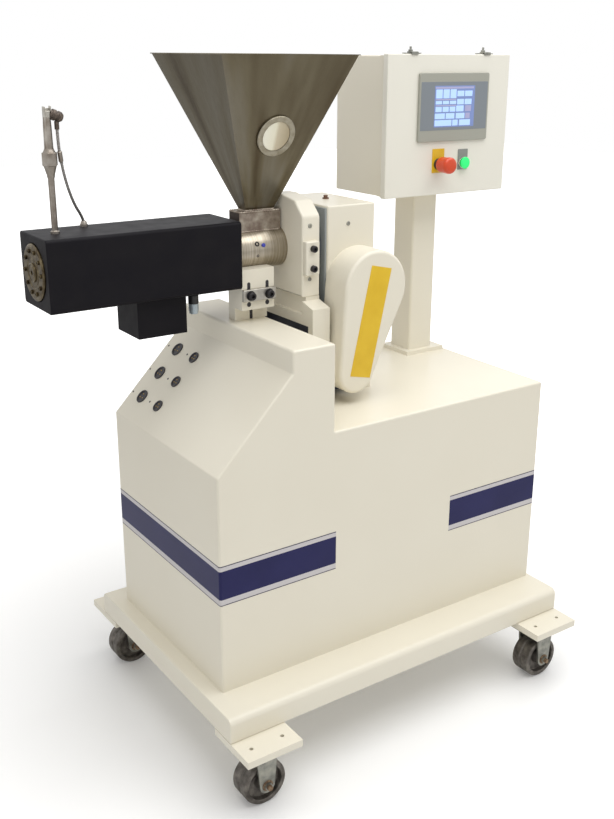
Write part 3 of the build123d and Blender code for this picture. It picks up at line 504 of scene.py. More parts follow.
def ring_loop(profile, origin, axis, steps=48):
    """A closed profile spun into a ring with a hole, such as a collar or a wheel."""
    return skin(spun(profile, origin, axis, steps), closed=True)


def box_face(low, high, axes, radius, steps=6):
    """The outline of a box seen along one direction, where axes are the other two."""
    low, high = (np.array(end, float)[list(axes)] for end in (low, high))
    return box_outline(*(high - low), radius, (low + high) / 2, steps)


def block(low, high, edge=1.0, corner=0.0):
    """A box between two corners, with round edges and rounder uprights where corner is set."""
    return prism(box_face(low, high, (0, 1), max(edge, corner), 5), XY, low[2], high[2], edge)


def front_plate(low, high, corner, edge, edge_high=None, steps=6):
    """A box whose big face looks at the viewer, with round corners in that face."""
    return prism(box_face(low, high, (0, 2), corner, steps), FRONT, -high[1], -low[1], edge, edge_high)


def screw(seat, axis, radius, height, key, depth, steps=24, start=UP):
    """A socket screw head.  Its well is a hexagon: the distance to its side at angle q is
    key cos(30) / cos(q - 30), with q counted from each corner to the next."""
    seat, axis = np.array(seat, float), np.array(axis, float) / np.linalg.norm(axis)
    head = spun([(0.0, radius), (height - 0.12 * radius, radius), (height, 0.88 * radius)], seat, axis, steps, start)
    around = spun([(0.0, 1.0)], (0, 0, 0), axis, steps, start)
    q = np.linspace(0.0, 2 * math.pi, steps, endpoint=False) % (math.pi / 3)
    reach = key * math.cos(math.pi / 6) / np.cos(q - math.pi / 6)
    levels = np.array([height, height - depth])[:, None, None]
    wells = seat + levels * axis + around * reach[None, :, None]
    return skin(np.concatenate([head, wells]))


def along_path(points, closed=False):
    """Distance along a path of points at each of them; a closed path ends where it starts."""
    points = np.concatenate([points, points[:1]]) if closed else points
    return points, np.concatenate([[0.0], np.cumsum(np.linalg.norm(np.diff(points, axis=0), axis=1))])


def unit_rows(vectors):
    """Every row of an array divided by its length."""
    return vectors / np.linalg.norm(vectors, axis=1)[:, None]


def bead(corners, radius, ripple, pitch, step=1.2, around=12):
    """A weld bead along a closed path: rings whose radius is r + ripple cos(2 pi s / pitch),
    set every step millimetres across the heading of the path."""
    loop, lengths = along_path(np.array(corners, float), closed=True)
    s = np.linspace(0.0, lengths[-1], int(lengths[-1] / step), endpoint=False)
    spine = np.stack([np.interp(s, lengths, loop[:, k]) for k in range(3)], axis=1)
    heading = unit_rows(np.roll(spine, -3, axis=0) - np.roll(spine, 3, axis=0))
    outside = unit_rows(np.cross(heading, UP))
    angle = np.linspace(0.0, 2 * math.pi, around, endpoint=False)
    size = (radius + ripple * np.cos(2 * math.pi * s / pitch))[:, None, None]
    rings = spine[:, None] + size * (np.cos(angle)[None, :, None] * outside[:, None]
                                     + np.sin(angle)[None, :, None] * np.cross(outside, heading)[:, None])
    return skin(rings, closed=True)


# %% [markdown]
# ## The probe cable
#
# A melt probe stands on the barrel, and its thin braided lead hangs from the head down to a
# gland on top of the cover.  It is a free cable, so it is made first: one smooth NURBS curve
# through the same corner points as the CAD tube.  The steel braid is then a mesh tube round
# that curve, whose radius follows two sets of crossing helices.

# %% Route of the cable
CABLE_R = 3.0
cable_start = np.array([-558.5, 79.0, 1376.0])
cable_stop = np.array([-496.5, 131.0, 1178.45])
cable_shares = np.array([
    (0.0, 0.0, 0.0), (0.0, 0.0, 0.15), (0.07, 0.11, 0.30), (0.22, 0.30, 0.50),
    (0.42, 0.48, 0.68), (0.66, 0.70, 0.83), (0.91, 0.925, 0.93), (1.0, 1.0, 1.0)])
cable_points = cable_start + cable_shares * (cable_stop - cable_start)
route = bpy.data.curves.new("cable_route", "CURVE")
route.dimensions = "3D"
route.resolution_u = 24
spline = route.splines.new("NURBS")
spline.points.add(len(cable_points) - 1)
spline.points.foreach_set("co", np.column_stack([cable_points * MM, np.ones(len(cable_points))]).ravel())
spline.order_u = 3
spline.use_endpoint_u = True
route_object = bpy.data.objects.new("cable_route", route)
path_mesh = bpy.data.meshes.new_from_object(route_object)
cable_path = np.zeros(len(path_mesh.vertices) * 3)
path_mesh.vertices.foreach_get("co", cable_path)
cable_path = cable_path.reshape(-1, 3) / MM
bpy.data.meshes.remove(path_mesh)
bpy.data.objects.remove(route_object)
bpy.data.curves.remove(route)


# %% Braided tube along a path
def braided_tube(path, radius, step, strands, pitch, depth, around=40):
    """Rings along a path.  The path is resampled every step of its own length.  A ring's two
    directions are the cross products of the path's heading with a fixed sideways axis.  The
    radius is r plus depth times the higher of two waves, one winding left and one right, each
    cos(strands * angle +- 2 pi * length / pitch)."""
    path, lengths = along_path(path)
    s = np.linspace(0.0, lengths[-1], max(2, int(lengths[-1] / step)))
    spine = np.stack([np.interp(s, lengths, path[:, k]) for k in range(3)], axis=1)
    heading = unit_rows(np.gradient(spine, axis=0))
    side = unit_rows(np.cross(heading, np.array([0.6, -0.8, 0.0])))
    other = np.cross(heading, side)
    angle = np.linspace(0.0, 2 * math.pi, around, endpoint=False)
    wind = 2 * math.pi * s[:, None] / pitch
    waves = np.maximum(np.cos(strands * angle[None] + wind), np.cos(strands * angle[None] - wind))
    size = radius + depth * (waves - 1.0)
    return spine[:, None] + size[:, :, None] * (
        np.cos(angle)[None, :, None] * side[:, None] + np.sin(angle)[None, :, None] * other[:, None])


BRAID = {"step": 0.45, "strands": 6, "pitch": 9.0, "depth": 0.35}
cable = place("probe_cable_braid", [skin(braided_tube(cable_path, CABLE_R, **BRAID))], braid_steel,
              replaces=["probe_cable"], sharp=80.0)

# %% [markdown]
# ## Base pan and cabinet
#
# The base is a folded pan with generous bends along its long sides.  The cabinet is a welded
# box: a sloped panel at the nozzle end, a platform under the feed throat, and a lower deck.
# Its side view, pulled across the width, gives the whole shell in one skin, and the round
# edges stand for ground and painted welds.

# %% Base pan
PAN_FOLD, PAN_BEND = 3, 15
low, high = box_mm("base_pan")
pan = rounded([(low[1], low[2], PAN_FOLD), (high[1], low[2], PAN_FOLD), (high[1], high[2], PAN_BEND),
               (low[1], high[2], PAN_BEND)])
place("base_pan_shell", [prism(pan, YZ, low[0], high[0], 2.5)], white_paint, replaces=["base_pan"])

# %% Cabinet
DECK_Z, SLOPE_RUN, SLOPE_RISE, SLOPE_Z, PLATFORM_RUN = 748.0, 181.0, 187.0, 708.0, 106.0
PAN_SINK = 8.0
cab_low, cab_high = box_mm("cabinet")
riser_x = cab_low[0] + SLOPE_RUN
platform_end = riser_x + PLATFORM_RUN
side_view = rounded([
    (cab_low[0], cab_low[2] - PAN_SINK, 6), (cab_high[0], cab_low[2] - PAN_SINK, 6), (cab_high[0], DECK_Z, 6),
    (platform_end, DECK_Z, 3), (platform_end, cab_high[2], 6), (riser_x, cab_high[2], 6),
    (riser_x, SLOPE_Z + SLOPE_RISE, 4), (cab_low[0], SLOPE_Z, 7)])
place("cabinet_shell", [prism(side_view, FRONT, -cab_high[1], -cab_low[1], 5.0)], white_paint,
      replaces=["cabinet"])

# %% [markdown]
# ## Colour stripe
#
# A wide navy film runs round the cabinet at half height between two thin lines.  It follows
# the plan of the cabinet, so each strip is a small rectangle carried along that outline.  The
# film stops on the long front, where the paint is left bare.

# %% Stripe
STRIPE_START, STRIPE_END = 228.1, -105.7


def strip(path, outward, low, high, proud=0.3, sunk=0.6):
    """Rings of a strip: at every point of an anticlockwise path, four corners between the
    heights low and high, standing proud of the outline and sunk into it."""
    outer, inner = path + proud * outward, path - sunk * outward
    corners = [np.column_stack([xy, np.full(len(xy), z)]) for xy, z in
               ((outer, high), (outer, low), (inner, low), (inner, high))]
    return np.stack(corners, axis=1)


plan, plan_out = (np.roll(part, -len(part) // 4, axis=0) for part in box_face(cab_low, cab_high, (0, 1), 5.0, 8))
ends = np.array([[STRIPE_START, cab_low[1]], [STRIPE_END, cab_low[1]]])
path = np.concatenate([ends[:1], plan, ends[1:]])
path_out = np.concatenate([[FORWARD[:2]], plan_out, [FORWARD[:2]]])
for name, material, bands in (
        ("stripe_band", navy_vinyl, [(436.2, 501.8)]),
        ("stripe_gaps", lilac_vinyl, [(424.3, 436.2), (501.8, 511.5)]),
        ("stripe_lines", line_vinyl, [(422.3, 424.3), (511.5, 513.5)])):
    place(name, [skin(strip(path, path_out, low_z, high_z)) for low_z, high_z in bands], material, sharp=50)

# %% [markdown]
# ## Sockets on the sloped panel
#
# Three big and three small round sockets take the heater and sensor plugs.  Each is a dark ring
# with a sunk face and contact pins, and small screws sit beside them.

# %% Sockets
SOCKET_ROWS = (63.0, 131.0, 199.0)
SOCKET_KINDS = ((200.0, 14.5, 6.5), (119.5, 12.0, 5.0))
PIN_TURNS = (90.0, 210.0, 330.0)
SCREW_PLACES = ((61.7, 247.0), (128.0, 247.0), (198.0, 243.0), (61.6, 159.0), (128.0, 155.6), (198.7, 151.8))
PIN_PROFILE = [(0.2, 1.3), (1.6, 1.3), (2.1, 0.8)]
ROUND_HEAD = [(0.0, 2.3), (0.6, 2.2), (1.1, 1.3)]
slope = math.atan2(SLOPE_RISE, SLOPE_RUN)
panel_up = np.array([math.cos(slope), 0.0, math.sin(slope)])
panel_out = np.array([-math.sin(slope), 0.0, math.cos(slope)])
panel_corner = np.array([cab_low[0], 0.0, SLOPE_Z])
across_y = np.array(BACK)


def on_panel(row, y):
    """The place on the slope that is row millimetres up it and y millimetres across."""
    return panel_corner + row * panel_up + y * across_y


rims, pins = [], []
for row in SOCKET_ROWS:
    for y, r, pin_ring in SOCKET_KINDS:
        seat = on_panel(row, y)
        rims.append(turned([(0.0, r + 2.0), (2.0, r + 2.0), (2.5, r + 1.5), (2.5, r - 0.5), (2.0, r - 1.0),
                            (0.5, r - 1.4)], seat, panel_out, 40))
        for turn in np.radians(PIN_TURNS):
            away = math.cos(turn) * across_y + math.sin(turn) * panel_up
            pins.append(turned(PIN_PROFILE, seat + pin_ring * away, panel_out, 12))
place("panel_sockets", rims, socket_black, replaces=["heater_sockets", "sensor_sockets"])
place("socket_pins", pins, brass)
place("panel_screws", [turned(ROUND_HEAD, on_panel(*spot), panel_out, 16) for spot in SCREW_PLACES], black_oxide)

# %% [markdown]
# ## Barrel cover, die flange and blower box
#
# The square cover is skinned from the round recess at its nozzle end outwards.  The rings of
# the recess use the same angles as the points of the square, so the end face closes cleanly.

# %% Barrel cover
COVER_CORNER, EXTRA_POINTS = 7.0, 14
RECESS = ((12.0, 58.2), (0.8, 58.2), (0.0, 59.0))


def dense(outline, extra):
    """Adds evenly spaced points to the straight sides of an outline with four round corners."""
    points, outward = (part.reshape(4, -1, 2) for part in outline)
    share = np.linspace(0.0, 1.0, extra + 2)[None, 1:-1, None]
    sides = points[:, -1:] * (1 - share) + np.roll(points[:, :1], -1, axis=0) * share
    facing = np.repeat(outward[:, -1:], extra, axis=1)
    return (np.concatenate([points, sides], axis=1).reshape(-1, 2),
            np.concatenate([outward, facing], axis=1).reshape(-1, 2))


cover_low, cover_high = box_mm("barrel_cover")
cover_side = cover_high[1] - cover_low[1]
AXIS_Y, AXIS_Z = (cover_low[1:] + cover_high[1:]) / 2
square = dense(box_outline(cover_side, cover_side, COVER_CORNER, (AXIS_Y, AXIS_Z)), EXTRA_POINTS)
angle = np.arctan2(square[0][:, 1] - AXIS_Z, square[0][:, 0] - AXIS_Y)
facing = np.column_stack([np.cos(angle), np.sin(angle)])
recess = np.stack([np.column_stack([np.full(len(facing), cover_low[0] + x), (AXIS_Y, AXIS_Z) + r * facing])
                   for x, r in RECESS])
cover_skin = pulled(square, YZ, cover_low[0], cover_high[0], edge=2.5, edge_high=1.5)
place("barrel_cover_shell", [skin(np.concatenate([recess, cover_skin]))], black_paint, replaces=["barrel_cover"])

# %% Die flange, turned, with its nozzle and ten screws
DIE_PROFILE = [
    (5, 4.6), (-6.4, 4.6), (-7, 5.4), (-7, 12), (-6.2, 12.8), (-6.2, 17), (-6.8, 17.8), (-6.2, 19.2), (-4, 19.5),
    (-4, 27), (-3.2, 28), (-3.2, 31), (-4, 32), (-4, 51.5), (-3.4, 52.2), (-3.4, 54.5), (-2, 57), (12, 57)]
SCREW_CIRCLE, SCREW_STEP = 43, 36.0
place("die_flange_turned", [turned(DIE_PROFILE, (cover_low[0], AXIS_Y, AXIS_Z), EAST, 72)], warm_steel,
      replaces=["die_flange"])
flange_screws = []
for turn in np.radians(np.arange(0.0, 360.0, SCREW_STEP)):
    seat = (cover_low[0] - 4.3, AXIS_Y + SCREW_CIRCLE * math.cos(turn), AXIS_Z + SCREW_CIRCLE * math.sin(turn))
    flange_screws.append(screw(seat, LEFT, 4.4, 3.2, 2.4, 2.4))
place("flange_screws", flange_screws, warm_steel, replaces=["flange_bolts"])

# %% Blower box and the fitting that hangs beside it
FITTING_NUT = [(0, 8.5), (12, 8.5), (12.6, 11.4), (30, 11.4), (30.8, 10.4)]
FITTING_BODY = [(30, 9.5), (31, 10.8), (46, 10.8), (46.6, 9.6), (52, 9.6), (53, 8.6)]
place("blower_shell", [block(*box_mm("blower_box"), 1.2, 2.0)], black_paint, replaces=["blower_box"])
fitting_at = (-288.0, 60.0, cover_low[2] + 1.0)
place("fitting_nut", [turned(FITTING_NUT, fitting_at, DOWN, 32, EAST)], collar_black)
place("fitting_body", [turned(FITTING_BODY, fitting_at, DOWN, 32, EAST)], fitting_pale)

# %% [markdown]
# ## Melt probe
#
# A thin stem stands on the cover and widens through a hexagon into the tube of the probe.  A
# pressed bracket on top holds a dark plug, and the cable leaves below it.

# %% Probe
HEX_LOW, HEX_HIGH, HEX_R = 1299.0, 1325.0, 15.5
PLUG_DROOP = math.radians(20)
PLUG = [(0, 8), (3, 8.6), (4, 10.6), (11, 10.6), (12, 9.4), (15, 9.4), (16, 10.4), (22, 10), (26, 7)]
PLUG_TAIL = [(0, 4.6), (14, 4.6), (16, 4.0)]
SLEEVE = [(0, 3.6), (1, 4.6), (20, 4.6), (22, 3.6)]
GLAND = [(0, 8), (4.5, 8), (5, 6.8), (8, 6.4), (11, 4.6)]
probe_x, probe_y = centre_mm("melt_probe")[:2]
probe_z = box_mm("melt_probe")[0][2]
head_low, head_high = box_mm("probe_head")
nut_z, head_z = HEX_LOW - probe_z, head_low[2] - probe_z
stem = [(0, 9), (4, 9), (5, 7), (6, 6.2), (nut_z - 24, 6.4), (nut_z - 20, 7.6), (nut_z - 17, 7.8), (nut_z - 4, 11.5),
        (nut_z, 12.5)]
collar = [(nut_z + 26, 12), (nut_z + 31, 9.6), (nut_z + 34, 8.6), (head_z - 2, 8.0), (head_z + 14, 7.2)]
hexagon = rounded([(probe_x + HEX_R * math.cos(q), probe_y + HEX_R * math.sin(q), 1.2)
                   for q in np.radians(np.arange(0.0, 360.0, 60.0))], steps=3)
place("probe_stem", [turned(profile, (probe_x, probe_y, probe_z), UP, 32, EAST) for profile in (stem, collar)]
      + [prism(hexagon, XY, HEX_LOW, HEX_HIGH, 1.4)], probe_steel, replaces=["melt_probe"])
place("probe_bracket", [
    block((probe_x - 6.0, probe_y - 5.5, head_low[2] - 3), (probe_x - 3.6, probe_y + 5.5, head_high[2] + 1), 0.7),
    block((probe_x - 6.0, probe_y + 3.2, head_low[2] - 3), (probe_x + 9, probe_y + 5.6, head_high[2] - 2), 0.7),
    block((probe_x - 4, probe_y - 5, head_low[2] + 4), (probe_x + 6, probe_y + 5, head_high[2] - 7), 1.0),
    block((probe_x + 7.0, probe_y - 3, head_high[2] - 10), (probe_x + 9.4, probe_y + 5.6, head_high[2] + 2), 0.7)],
    bright_steel)
plug_at, plug_way = (probe_x + 6, probe_y, head_high[2] - 12), (math.cos(PLUG_DROOP), 0.0, -math.sin(PLUG_DROOP))
place("probe_plug", [turned(PLUG, plug_at, plug_way, 32),
                     turned(PLUG_TAIL, (cable_points[0][0], probe_y, head_low[2] - 9), UP, 24, EAST)],
      plug_brown, replaces=["probe_head"])
sleeve_spot = len(cable_path) * 2 // 10
sleeve_way = cable_path[sleeve_spot + 4] - cable_path[sleeve_spot]
place("cable_sleeve", [turned(SLEEVE, cable_path[sleeve_spot], sleeve_way, 24, EAST)], probe_steel)
gland_x, gland_y = centre_mm("cable_gland")[:2]
place("gland_turned", [turned(GLAND, (gland_x, gland_y, box_mm("cable_gland")[0][2]), UP, 32, EAST)],
      probe_steel, replaces=["cable_gland"])

# %% [markdown]
# ## Throat, neck and support
#
# The throat and the neck keep their CAD shape.  Turned bands, plugs, the weld beads with their
# ripples, black plates painted as the shade in the slots of the support block, and the clamp with
# its socket screws are added here.  The left side of the neck stands in shadow, so a thin dark
# plate covers it as painted shade.

# %% Throat bands, plugs and weld beads
THROAT_R = 45
throat_low, throat_high = box_mm("feed_throat")
throat_at = (throat_low[0], AXIS_Y, AXIS_Z)
throat_l = throat_high[0] - throat_low[0]
NEAR_BAND = [(0, 45), (0, 46.2), (3, 46.2), (3.4, 45.4), (3.4, THROAT_R)]
FAR_BAND = [(throat_l - 5, 45), (throat_l - 4.6, 46.2), (throat_l - 1.5, 46.2), (throat_l, 45.4),
            (throat_l, THROAT_R)]
place("throat_bands", [ring_loop(band, throat_at, EAST, 96) for band in (NEAR_BAND, FAR_BAND)], throat_steel)


def on_throat(x, turn):
    """A place on the round throat and the direction out of it, turned down from the top."""
    out = np.array([0.0, -math.sin(math.radians(turn)), math.cos(math.radians(turn))])
    return np.array([x, AXIS_Y, AXIS_Z]) + (THROAT_R + 0.7) * out, out


place("throat_plugs", [screw(*on_throat(-140.0, 70.0), 5.5, 1.6, 3.2, 1.5, start=EAST),
                       screw(*on_throat(-139.0, 103.0), 3.2, 0.8, 1.8, 0.7, start=EAST)], black_oxide)
place("throat_cap", [turned([(0, 4.6), (2.0, 4.6), (3.2, 3.6), (3.6, 2.0)], *on_throat(-124.5, 75.0), 24, EAST)],
      blue_cap)
FOOT_L, FOOT_W = 70.0, 28.0
NECK_W, NECK_FOOT_Z, SIDE_FOOT_Z = 43.0, 1136.6, 1139.0
neck_low, neck_high = box_mm("hopper_neck")
neck_mid = (neck_low + neck_high) / 2
foot_x = hopper_mid[0] / MM


def rectangle(length, width, z, x, y):
    """The corners of a level rectangle, anticlockwise."""
    return [(x - length / 2, y - width / 2, z), (x + length / 2, y - width / 2, z),
            (x + length / 2, y + width / 2, z), (x - length / 2, y + width / 2, z)]


# A thin dark plate on the neck's left face: painted shade where that face stands in shadow.
place("neck_side_shade_plate", [block((neck_low[0] - 0.6, neck_low[1] + 1, SIDE_FOOT_Z),
                          (neck_low[0] + 2, neck_high[1] - 1, neck_high[2] - 3), 0.4)], neck_painted_shade)
place("weld_beads", [
    bead(rectangle(FOOT_L + 2, FOOT_W + 2, neck_high[2] + 0.8, foot_x, AXIS_Y), 2.8, 0.5, 5.0),
    bead(rectangle(neck_high[0] - neck_low[0] - 3, NECK_W, neck_high[2] - 1.2, *neck_mid[:2]), 2.6, 0.6, 5.2),
    bead([(neck_low[0] + 3, neck_low[1] - 0.5, NECK_FOOT_Z), (neck_high[0] - 3, neck_low[1] - 0.5, NECK_FOOT_Z),
          (neck_high[0] - 3, neck_low[1] + 2, NECK_FOOT_Z - 0.6),
          (neck_low[0] + 3, neck_low[1] + 2, NECK_FOOT_Z - 0.6)], 2.2, 0.4, 5.0)],
    weld_steel)

# %% Support block: painted shade in the slots, clamp bar, socket screws and a black stud in the foot slot
BOLT_OFFSET = 23.5
WASHER = [(0, 11), (1.2, 11), (1.6, 10.6), (1.6, 7)]
STUD, STUD_Y, STUD_RISE = [(0.4, 3.6), (28.6, 3.6)], 49.2, 195.0
bar_low, bar_high = box_mm("clamp_bar")
bar_x, _, bar_z = (bar_low + bar_high) / 2
block_low, _ = box_mm("throat_block")
slot_kinds = ((block_low[2] + 7, block_low[2] + 18, 10.0), (bar_high[2] - 4, bar_high[2] + 15, 8.0))
place("clamp_bar_round", [block(bar_low, bar_high, 1.6)], bright_steel, replaces=["clamp_bar"])
# The slots get thin black plates, painted shade for their shaded depth; the stud in the foot slot is black as painted
# shade too.
slots, bolts = [], []
for x in (bar_x - BOLT_OFFSET, bar_x + BOLT_OFFSET):
    for low_z, high_z, wide in slot_kinds:
        slots.append(prism(box_outline(wide, high_z - low_z, wide / 2, (x, (low_z + high_z) / 2)), FRONT,
                           -block_low[1] - 1.0, -block_low[1] + 0.25, 0.1))
    bolts.append(turned(WASHER, (x, bar_low[1], bar_z), FORWARD, 32))
    bolts.append(screw((x, bar_low[1] - 1.5, bar_z), FORWARD, 8.8, 8.5, 4.6, 5.0))
slots.append(turned(STUD, (bar_x, STUD_Y, DECK_Z + STUD_RISE), UP, 24, EAST))
place("block_slot_shades", slots, socket_black)
place("clamp_screws", bolts, black_oxide, replaces=["clamp_bolts"])

# %% [markdown]
# ## Sight glass in the hopper
#
# The window sits in the sloping front wall.  Light thrown about inside the hopper makes it read
# as cream, brighter towards the left, so the pane gets a soft change of colour across it.

# %% Window
WALL_UP, WALL_RISE, WALL_RUN = 178.0, 328.0, 137.0
PANE_R = 33
RING_PROFILE = [(0, 46), (3.6, 46), (5, 44.6), (5, 35), (4, PANE_R), (0, PANE_R)]
wall_l = math.hypot(WALL_RUN, WALL_RISE)
wall_up = np.array([0.0, -WALL_RUN, WALL_RISE]) / wall_l
wall_out = np.array([0.0, -WALL_RISE, -WALL_RUN]) / wall_l
window_at = np.array([foot_x, AXIS_Y - FOOT_W / 2, neck_high[2]]) + WALL_UP * wall_up
place("window_ring", [ring_loop(RING_PROFILE, window_at, wall_out, 72)], window_steel, replaces=["glass_ring"])
pane_glass = coat("pane_glass", (0.85, 0.80, 0.62), 0.12, (60.0, 2.0, 0.00010), sockets={"Coat Weight": 0.5})
across = node(pane_glass, "ShaderNodeSeparateXYZ")
link(pane_glass, object_place(pane_glass), across.inputs["Vector"])
pane_share = spread(pane_glass, across.outputs["X"], *(float(window_at[0] + x) * MM for x in (-PANE_R, PANE_R)))
colour_from(pane_glass, pane_share, [
    (0.05, (0.92, 0.90, 0.76)), (0.42, (0.88, 0.84, 0.66)), (0.55, (0.60, 0.52, 0.36)), (0.95, (0.42, 0.34, 0.20))])
place("window_pane", [turned([(0, PANE_R), (2.4, PANE_R), (3, 32)], window_at, wall_out, 72)], pane_glass,
      replaces=["sight_glass"])

# %% [markdown]
# ## Gearbox
#
# The thrust housing is a casting with soft corners and rounded edges.  The boss on its side
# holds two socket screws.  A grey plate and a dark disk fill the gap to the reducer as painted
# shade, where the reducer's end stands in shadow.  A dark plate behind the stand is painted
# shade for the shaded strip under the bridge's top beam.

# %% Thrust housing and reducer
CAST_HALF, SHOULDER_Z, CREST_Z, TOP_Z = 104.0, 1172, 1204, 1213
CREST_HALF, TOP_HALF = 72, 15
BOSS_X, BOSS_Z, BOSS_L, BOSS_H, BOSS_BACK_Y = -42.0, 1081.0, 36.0, 76.0, -22.0
BOSS_SCREW = 22
SHADE_PLATE_Z = (862.0, 933.0)
GAP_DISK = [(0.2, 84.4), (21.8, 84.4)]
BREATHER = [(0, 7.5), (3.0, 7.5), (3.4, 4.5), (5.4, 4.5), (5.8, 5.6), (8.0, 5.0), (9.0, 3.4)]
thrust_low, thrust_high = box_mm("thrust_housing")
thrust_y = thrust_low[1]
cast = rounded([
    (AXIS_Y - CAST_HALF, thrust_low[2], 3), (AXIS_Y + CAST_HALF, thrust_low[2], 3),
    (AXIS_Y + CAST_HALF, SHOULDER_Z, 14), (AXIS_Y + CREST_HALF, CREST_Z, 14), (AXIS_Y + TOP_HALF, TOP_Z, 10),
    (AXIS_Y - TOP_HALF, TOP_Z, 10), (AXIS_Y - CREST_HALF, CREST_Z, 14), (AXIS_Y - CAST_HALF, SHOULDER_Z, 14)])
boss = box_outline(BOSS_L, BOSS_H, 4.0, (BOSS_X, BOSS_Z))
place("thrust_housing_cast", [
    prism(cast, YZ, thrust_low[0], thrust_high[0], 4.0, 2.0),
    prism(boss, FRONT, -BOSS_BACK_Y, -thrust_y, 3.0)], white_paint, replaces=["thrust_housing"])
place("housing_screws", [screw((BOSS_X, thrust_y, z), FORWARD, 7.5, 9.0, 3.8, 4.5)
                         for z in (BOSS_Z - BOSS_SCREW, BOSS_Z + BOSS_SCREW)], black_oxide,
      replaces=["housing_bolts"])
place("housing_plugs", [
    screw((-41.3, AXIS_Y - CAST_HALF, 1151.5), FORWARD, 5.5, 1.2, 2.8, 1.0),
    turned([(0, 4.5), (0.8, 4.5), (1.4, 3.0)], (BOSS_X, thrust_y + 13.5, 1033.0), FORWARD, 24)], zinc_plate)
reducer_low, reducer_high = box_mm("reducer")
bridge_low, bridge_high = box_mm("gearbox_bridge")
# A dark disk and a grey plate on the reducer's end: painted shade in the gap between housing and reducer.
place("reducer_gap_shade_disk", [turned(GAP_DISK, (thrust_high[0], AXIS_Y, AXIS_Z), EAST, 72)], dark_painted_shade)
place("reducer_end_shade_plate", [block(reducer_low + (18.0, 5, 5), (reducer_low[0] + 23.0, *(reducer_high[1:] - 5)), 0.6)],
      grey_painted_shade)
# A dark plate behind the stand: painted shade for the shaded strip under the bridge's top beam.
place("stand_shade_plate", [block((bridge_high[0] - 4, bridge_low[1] + 17, SHADE_PLATE_Z[0]),
                            (bridge_high[0] - 1, bridge_high[1] - 17, SHADE_PLATE_Z[1]), 0.6)], motor_paint)
place("reducer_plugs", [screw((reducer_low[0] + 78, reducer_low[1], 1148.0), FORWARD, 5.0, 1.6, 2.6, 1.2)],
      zinc_plate)
place("reducer_breather", [turned(BREATHER, (reducer_low[0] + 89.0, AXIS_Y, reducer_high[2]), UP, 24, EAST)],
      breather_brown)

# %% Motor behind the belt guard: a finned body, end covers, fan cowl and terminal box
MOTOR_X, MOTOR_Z, MOTOR_R, FIN_H, FINS = 35.5, 821.0, 57.0, 6.5, 36
END_COVER = [(0, 40), (0, 60), (8, 62), (12, 62)]
FAN_COWL = [(-58, 62), (-50, 64), (-12, 64), (-4, 60), (-1, 52), (0, 40)]
motor_low, motor_high = box_mm("drive_motor")
angle = np.linspace(0.0, 2 * math.pi, 8 * FINS, endpoint=False)
fin_r = MOTOR_R + FIN_H / 2 * (1.0 + np.clip(np.cos(FINS * angle) * 3.0, -1.0, 1.0))
fin_out = np.column_stack([np.cos(angle), np.sin(angle)])
fin_outline = (np.array([MOTOR_X, MOTOR_Z]) + fin_r[:, None] * fin_out, fin_out)
tail = motor_high[1]
place("motor_shell", [
    prism(fin_outline, FRONT, -tail + 52, 13.0),
    turned(END_COVER, (MOTOR_X, motor_low[1], MOTOR_Z), BACK, 64),
    turned(FAN_COWL, (MOTOR_X, tail, MOTOR_Z), BACK, 64),
    block((MOTOR_X - 34, 40, MOTOR_Z + 52), (MOTOR_X + 34, 100, MOTOR_Z + 84), 2.0, 5.0),
    block((MOTOR_X - 48, 20, DECK_Z), (MOTOR_X + 48, 140, DECK_Z + 10), 1.5),
    block((MOTOR_X - 38, 24, DECK_Z + 8), (MOTOR_X + 38, 136, DECK_Z + 26), 1.5)], motor_paint,
    replaces=["drive_motor"])

# %% [markdown]
# ## Control box
#
# A shallow cabinet on a square post.  Its door is a folded panel with soft edges; the screen,
# the stop button with its long mushroom head and the lit start button sit on it and swing with
# it.  The buttons are objects of their own, so each can be pushed in.

# %% Box, door and clamps
place("control_box_shell", [front_plate(*box_mm("control_box"), 3.0, 3.0, 1.0)], white_paint,
      replaces=["control_box"])
place("door_panel", [front_plate(*box_mm("box_door"), 3.0, 0.8, 2.4)], cool_paint, body="door",
      replaces=["box_door"])
(clamp_x0, clamp_y0, clamp_z), (clamp_x1, clamp_y1, _) = box_mm("door_clamps")
clamp_parts = []
for x in (clamp_x0 + 23, clamp_x1 - 23):
    clamp_parts += [
        block((x - 23, clamp_y0, clamp_z), (x + 23, clamp_y1, clamp_z + 2.5), 0.6),
        block((x - 10, clamp_y0 - 4, clamp_z + 2), (x + 10, clamp_y1 - 2, clamp_z + 5.5), 1.0),
        block((x - 10, clamp_y0 - 6, clamp_z - 2), (x + 10, clamp_y0 - 3, clamp_z + 5), 1.0),
        turned([(0, 5.4), (4, 5.4), (4.6, 4.8)], (x - 4, clamp_y0 + 8, clamp_z + 5), UP, 24, EAST),
        turned([(0, 2.6), (11, 2.6), (11.6, 2.0)], (x - 4, clamp_y0 + 8, clamp_z + 5), UP, 20, EAST),
        turned([(0, 2.2), (1.6, 2.2), (2.2, 1.2)], (x + 18, clamp_y0 + 8, clamp_z + 2), UP, 16, EAST)]
place("door_clamp_set", clamp_parts, zinc_plate, body="door", replaces=["door_clamps"])

